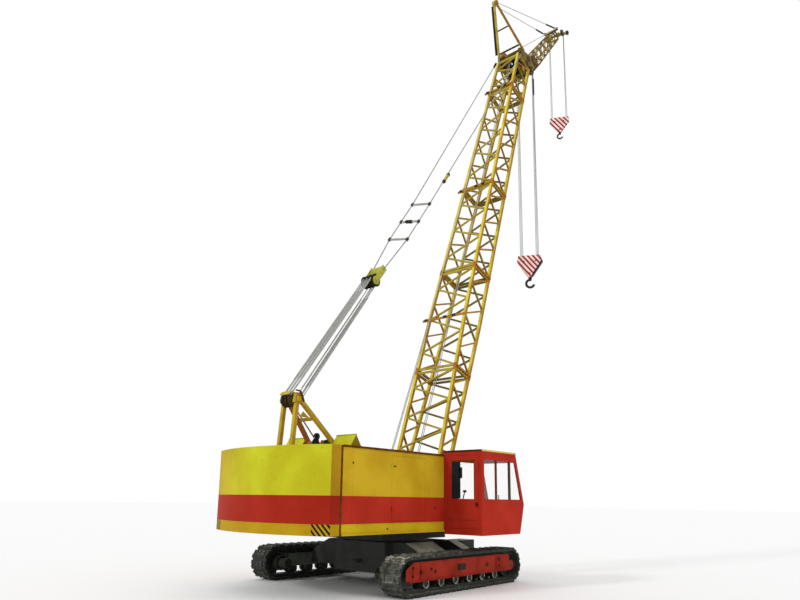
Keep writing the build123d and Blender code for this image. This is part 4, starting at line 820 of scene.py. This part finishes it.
inner = []
for k in (1, 2):
    for side in (-1, 1):
        inner.append(fall_ends(11.19, hoist_y - 0.033 * k, side, block_reach - 0.045 * k))
show("main_inner_falls", *rods(inner, rope / 2, 8), wire_rope, "main_falls", "rope_steel")
low, high = fall_ends(11.018, hoist_y, -1, block_reach)
high[0] = falls_x
socket = [low + (high - low) * (z - low[2]) / (high[2] - low[2]) for z in (17.96, 18.65)]
show("main_rope_socket", *rods([socket], 0.03, 12), dark_steel, "main_falls", "dark_steel")
inner = []
for side in (-1, 1):
    low = on_block(aux_x, side * (aux_reach - 0.045), 18.5)
    inner.append((low, (aux_x + 0.02, side * (aux_y - 0.03), 22.52)))
show("aux_inner_falls", *rods(inner, rope / 2, 8), wire_rope, "aux_falls", "rope_steel")
blocks = (
    ("main", falls_x, block_top, block_point, 0.42, 0.18),
    ("aux", aux_x, aux_top, aux_point, 0.375, 0.13),
)
for name, x, top, point, half, gap in blocks:
    low_pin, high_pin = (point + (top - point) * share for share in (0.18, 0.73))
    out = gap / 2 + 0.015
    ends = []
    for across, z in ((0.0, low_pin), (-half / 2, high_pin), (half / 2, high_pin)):
        ends.append((on_block(x, across, z, -out), on_block(x, across, z, out)))
    show(f"{name}_block_pins", *rods(ends, 0.022, 12), dark_steel, f"{name}_falls", "dark_steel")

edge_ends = []
for share, z in ((1.12, block_top - (block_top - block_point) * 0.27), (0.185, block_point + 0.045)):
    edge_ends.append(on_block(falls_x, -0.42 * share, z))
wear_edge = bars([edge_ends], 0.05, 0.2, across=(-sin(block_turn), cos(block_turn), 0.0))
show("main_block_edge", *wear_edge, oily_black, "main_falls", "dark_steel")
for name, x, point, radius in (("main", falls_x, block_point, 0.075), ("aux", aux_x, aux_point, 0.055)):
    nut = rods([((x, 0, point - 0.075), (x, 0, point - 0.012))], radius, 6)
    show(f"{name}_hook_nut", *nut, oily_black, f"{name}_hook", "dark_steel")

# Luffing rigging: more falls between the modelled ones, which close in from the gantry's
# sheaves to the bridle's spool
gantry_reach, spool_reach = 0.155, 0.1333
fall_steps = np.linspace(0.0, falls_length, 13)
reaches = np.linspace(gantry_reach, spool_reach, 13)
runs = []
for y, side in ((-0.155, -1), (-0.035, -1), (0.09, -1), (-0.035, 1)):
    places = [on_falls(along, side * reach, y) for along, reach in zip(fall_steps, reaches)]
    runs += list(zip(places, places[1:]))
hold = ("luffing_falls", "bridle", tuple(on_falls(0.2, 0, 0)), tuple(on_falls(falls_length - 0.2, 0, 0)))
show("inner_luffing_falls", *rods(runs, rope / 2, 8), wire_rope, hold, "rope_steel")

# Luffing rigging: knobs on the spreaders, a turnbuckle and end fittings
knobs = []
for along in spreaders:
    for sign in (-1, 1):
        knobs.append([on_pendant(along + step, sign, spreader_y) for step in (-0.045, 0.045)])
show("spreader_knobs", *rods(knobs, 0.045, 12), dark_steel, "bridle", "dark_steel")
left_end, right_end = (on_pendant(spreaders[1], sign, spreader_y) for sign in (1, -1))
sleeve = [left_end + (right_end - left_end) * share for share in (0.3, 0.62)]
show("spreader_sleeve", *rods([sleeve], 0.055, 12), oily_black, "bridle", "dark_steel")
buckle = []
for along in (9.33, 9.68):
    share = (along - spreaders[-1]) / (pendant_high - spreaders[-1])
    buckle.append(on_pendant(along, -1, spreader_y + (pendant_y_high - spreader_y) * share))
show("pendant_turnbuckle", *rods([buckle], 0.045, 12), gantry_enamel, "bridle", "yellow_paint")
tips = [buckle[0] + (buckle[1] - buckle[0]) * share for share in (-0.12, 0.06, 0.94, 1.12)]
show("turnbuckle_nuts", *rods([tips[:2], tips[2:]], 0.06, 6), oily_black, "bridle", "dark_steel")

# Tracks: bolts and end ribs on every shoe, cover trim, and bright rings that paint the highlights on the
# rollers
track_end = 2.46
axle_z, shoe_radius = track_height / 2, track_height / 2 - 0.065
axle_x = track_end - axle_z
loop_length = 4 * axle_x + 2 * pi * shoe_radius
shoe_count = round(loop_length / 0.256)
pitch = loop_length / shoe_count


def on_loop(distance):
    """Places and headings on the line under the shoes: two straight runs and two half
    circles, by the distance along the line from the top of the rear one."""
    distance = np.asarray(distance, float) % loop_length
    straight, half_turn = 2 * axle_x, pi * shoe_radius
    front = (distance - straight) / shoe_radius
    low = distance - straight - half_turn
    rear = (low - straight) / shoe_radius
    rings = [distance < straight, distance < straight + half_turn, low < straight]
    level = np.zeros_like(distance)
    ahead = [distance - axle_x, axle_x + shoe_radius * np.sin(front), axle_x - low]
    above = [level + shoe_radius, shoe_radius * np.cos(front), level - shoe_radius]
    x = np.select(rings, ahead, -axle_x - shoe_radius * np.sin(rear))
    z = axle_z + np.select(rings, above, -shoe_radius * np.cos(rear))
    heading = np.select(rings, [level, -front, level - pi], -pi - rear)
    return x, z, heading


def on_shoes(blocks):
    """Blocks given in one shoe's own axes, by distance along it, across it and above its
    underside, copied to every shoe of a track."""
    points, faces = boxes(blocks)
    x, z, heading = (values[:, None] for values in on_loop((np.arange(shoe_count) + 0.5) * pitch))
    along, side, out = points.T
    placed = [
        x + along * np.cos(heading) - out * np.sin(heading),
        np.broadcast_to(side, (shoe_count, len(side))),
        np.clip(z + along * np.sin(heading) + out * np.cos(heading), 0.0, track_height),
    ]
    every = (faces[None] + len(points) * np.arange(shoe_count)[:, None, None]).reshape(-1, 4)
    return np.stack(placed, axis=2).reshape(-1, 3), every


shoe_ribs, shoe_bolts = [], []
for side in (-0.27, -0.14, 0.14, 0.27):
    shoe_ribs.append(((-0.11, side - 0.01, 0.028), (0.098, side + 0.01, 0.046)))
for side in (-0.09, 0.09):
    for along in (0.0, 0.07):
        shoe_bolts.append(((along - 0.014, side - 0.014, 0.028), (along + 0.014, side + 0.014, 0.042)))
shoe_pieces = (("shoe_ribs", shoe_ribs, track_steel), ("shoe_bolts", shoe_bolts, machined_steel))
cover_low, cover_high, cover_front = 0.35, 0.733, 1.57
flange_thick, plate_thick = 0.012, 0.01
bosses = [(-1.7, 0.52, 0.05), (-1.34, 0.56, 0.035), (-1.19, 0.5, 0.04), (-1.98, 0.45, 0.03)]
bosses += [(-1.98, 0.62, 0.03), (0.88, 0.52, 0.05), (1.42, 0.62, 0.05), (1.44, 0.45, 0.035)]
wheel_radius, wheel_seat = shoe_radius - 0.07, 0.0003
roller_count, roller_pitch, roller_radius = 6, 0.555, 0.115
roller_x = (np.arange(roller_count) - (roller_count - 1) / 2) * roller_pitch
roller_z = axle_z - wheel_radius + wheel_seat + roller_radius
ring = [(0.075, 0.0), (0.105, 0.0), (0.105, 0.012), (0.075, 0.012)]
for side, sign in (("l", 1), ("r", -1)):
    middle = sign * track_y
    for name, spans, look in shoe_pieces:
        points, faces = on_shoes(spans)
        show(f"{name}_{side}", points + [0, middle, 0], faces, look, "undercarriage", "track_steel")

    face = sign * cover_face
    y0, y1 = sorted((face, face + sign * flange_thick))
    flanges = []
    for x in (-1.98, -1.72, 1.3):
        flanges.append(((x - 0.012, y0, cover_low + 0.03), (x + 0.012, y1, cover_high - 0.03)))
    flanges.append(((-1.9, y0, cover_low), (cover_front, y1, cover_low + 0.016)))
    flanges.append(((-1.95, y0, cover_high - 0.016), (cover_front, y1, cover_high)))
    show(f"cover_flanges_{side}", *boxes(flanges), cover_enamel, "undercarriage", "red_paint")
    heads = rods([((x, y0, z), (x, y1, z)) for x, z, radius in bosses], [boss[2] for boss in bosses], 12)
    show(f"cover_bosses_{side}", *heads, cover_grime, "undercarriage", "red_paint")
    y0, y1 = sorted((face, face + sign * plate_thick))
    nose = boxes([((1.45, y0, 0.37), (1.9, y1, 0.72))])
    show(f"cover_front_{side}", *nose, cover_enamel, "undercarriage", "red_paint")
    # painted shade: a black plate in the hole in each cover panel stands for the shade inside it
    hole_shade = boxes([((-0.3, y0, 0.465), (-0.03, y1, 0.605))])
    show(f"cover_hole_shade_{side}", *hole_shade, oily_black, "undercarriage", "dark_steel")
    rail = boxes([((-1.6, middle - 0.14, 0.635), (1.6, middle + 0.14, 0.733))])
    show(f"carrier_rail_{side}", *rail, dark_steel, "undercarriage", "dark_steel")
    # painted highlight: bright rings on the rollers' outer faces
    rings = [lathe(ring, (x, middle + sign * 0.15, roller_z), (0.0, sign, 0.0), 24) for x in roller_x]
    show(f"roller_highlight_rings_{side}", *together(*rings), rim_highlight_steel, "undercarriage", "dark_steel")

# Cab: the door's dark lining, which paints the shade inside the cab behind its window, trim and handle,
# covers on the window posts, and the lever
pane_low, pane_high = 2.085, 3.0
# painted shade: a dark panel inside the door's window stands for the shade in the cab
lining = [((cab_rear + 0.004, -2.40, 2.09), (cab_rear + 0.014, -2.17, 2.965))]
show("door_curtain", *boxes(lining), painted_shade_lining, "cab_door", "dark_steel")
latch_case = [
    ((cab_rear + 0.002, -2.415, 2.09), (cab_rear + 0.014, -2.375, 2.965)),
    ((cab_rear + 0.002, -2.47, 2.57), (cab_rear + 0.014, -2.39, 2.83)),
]
show("door_latch_case", *boxes(latch_case), oily_black, "cab_door", "dark_steel")
trim = [
    ((cab_rear - 0.004, -2.83, pane_low), (cab_rear + 0.03, -2.81, pane_high)),
    ((cab_rear - 0.004, -2.83, 2.97), (cab_rear + 0.03, -2.165, pane_high)),
]
show("door_window_trim", *boxes(trim), brown_edge, "cab_door", "dark_steel")
press_line = [((cab_rear - 0.003, -2.9, 1.585), (cab_rear + 0.001, -2.05, 1.6))]
show("door_press_line", *boxes(press_line), cover_enamel, "cab_door", "red_paint")
handle = [
    ((cab_rear - 0.05, -2.9, 1.96), (cab_rear, -2.9, 1.96)),
    ((cab_rear - 0.045, -2.9, 1.91), (cab_rear - 0.045, -2.9, 2.01)),
]
show("door_handle", *rods(handle, [0.012, 0.022], 8), cover_grime, "cab_door", "dark_steel")
post = [((1.045, cab_outer - 0.004, pane_low), (1.115, cab_outer + 0.001, pane_high))]
show("window_post_cover", *boxes(post), dark_steel, "upper", "dark_steel")
bar = [((0.445, cab_outer - 0.003, pane_low), (0.495, cab_outer + 0.001, pane_high))]
show("window_bar_cover", *boxes(bar), brown_edge, "upper", "dark_steel")
lever = [
    ((0.3, -2.15, 1.75), (0.3, -2.18, 2.08)),
    ((0.3, -2.18, 2.08), (0.3, -2.235, 2.26)),
    ((0.3, -2.2, 2.27), (0.3, -2.275, 2.27)),
]
show("cab_lever", *rods(lever, [0.014, 0.014, 0.028], 8), dark_steel, "upper", "dark_steel")
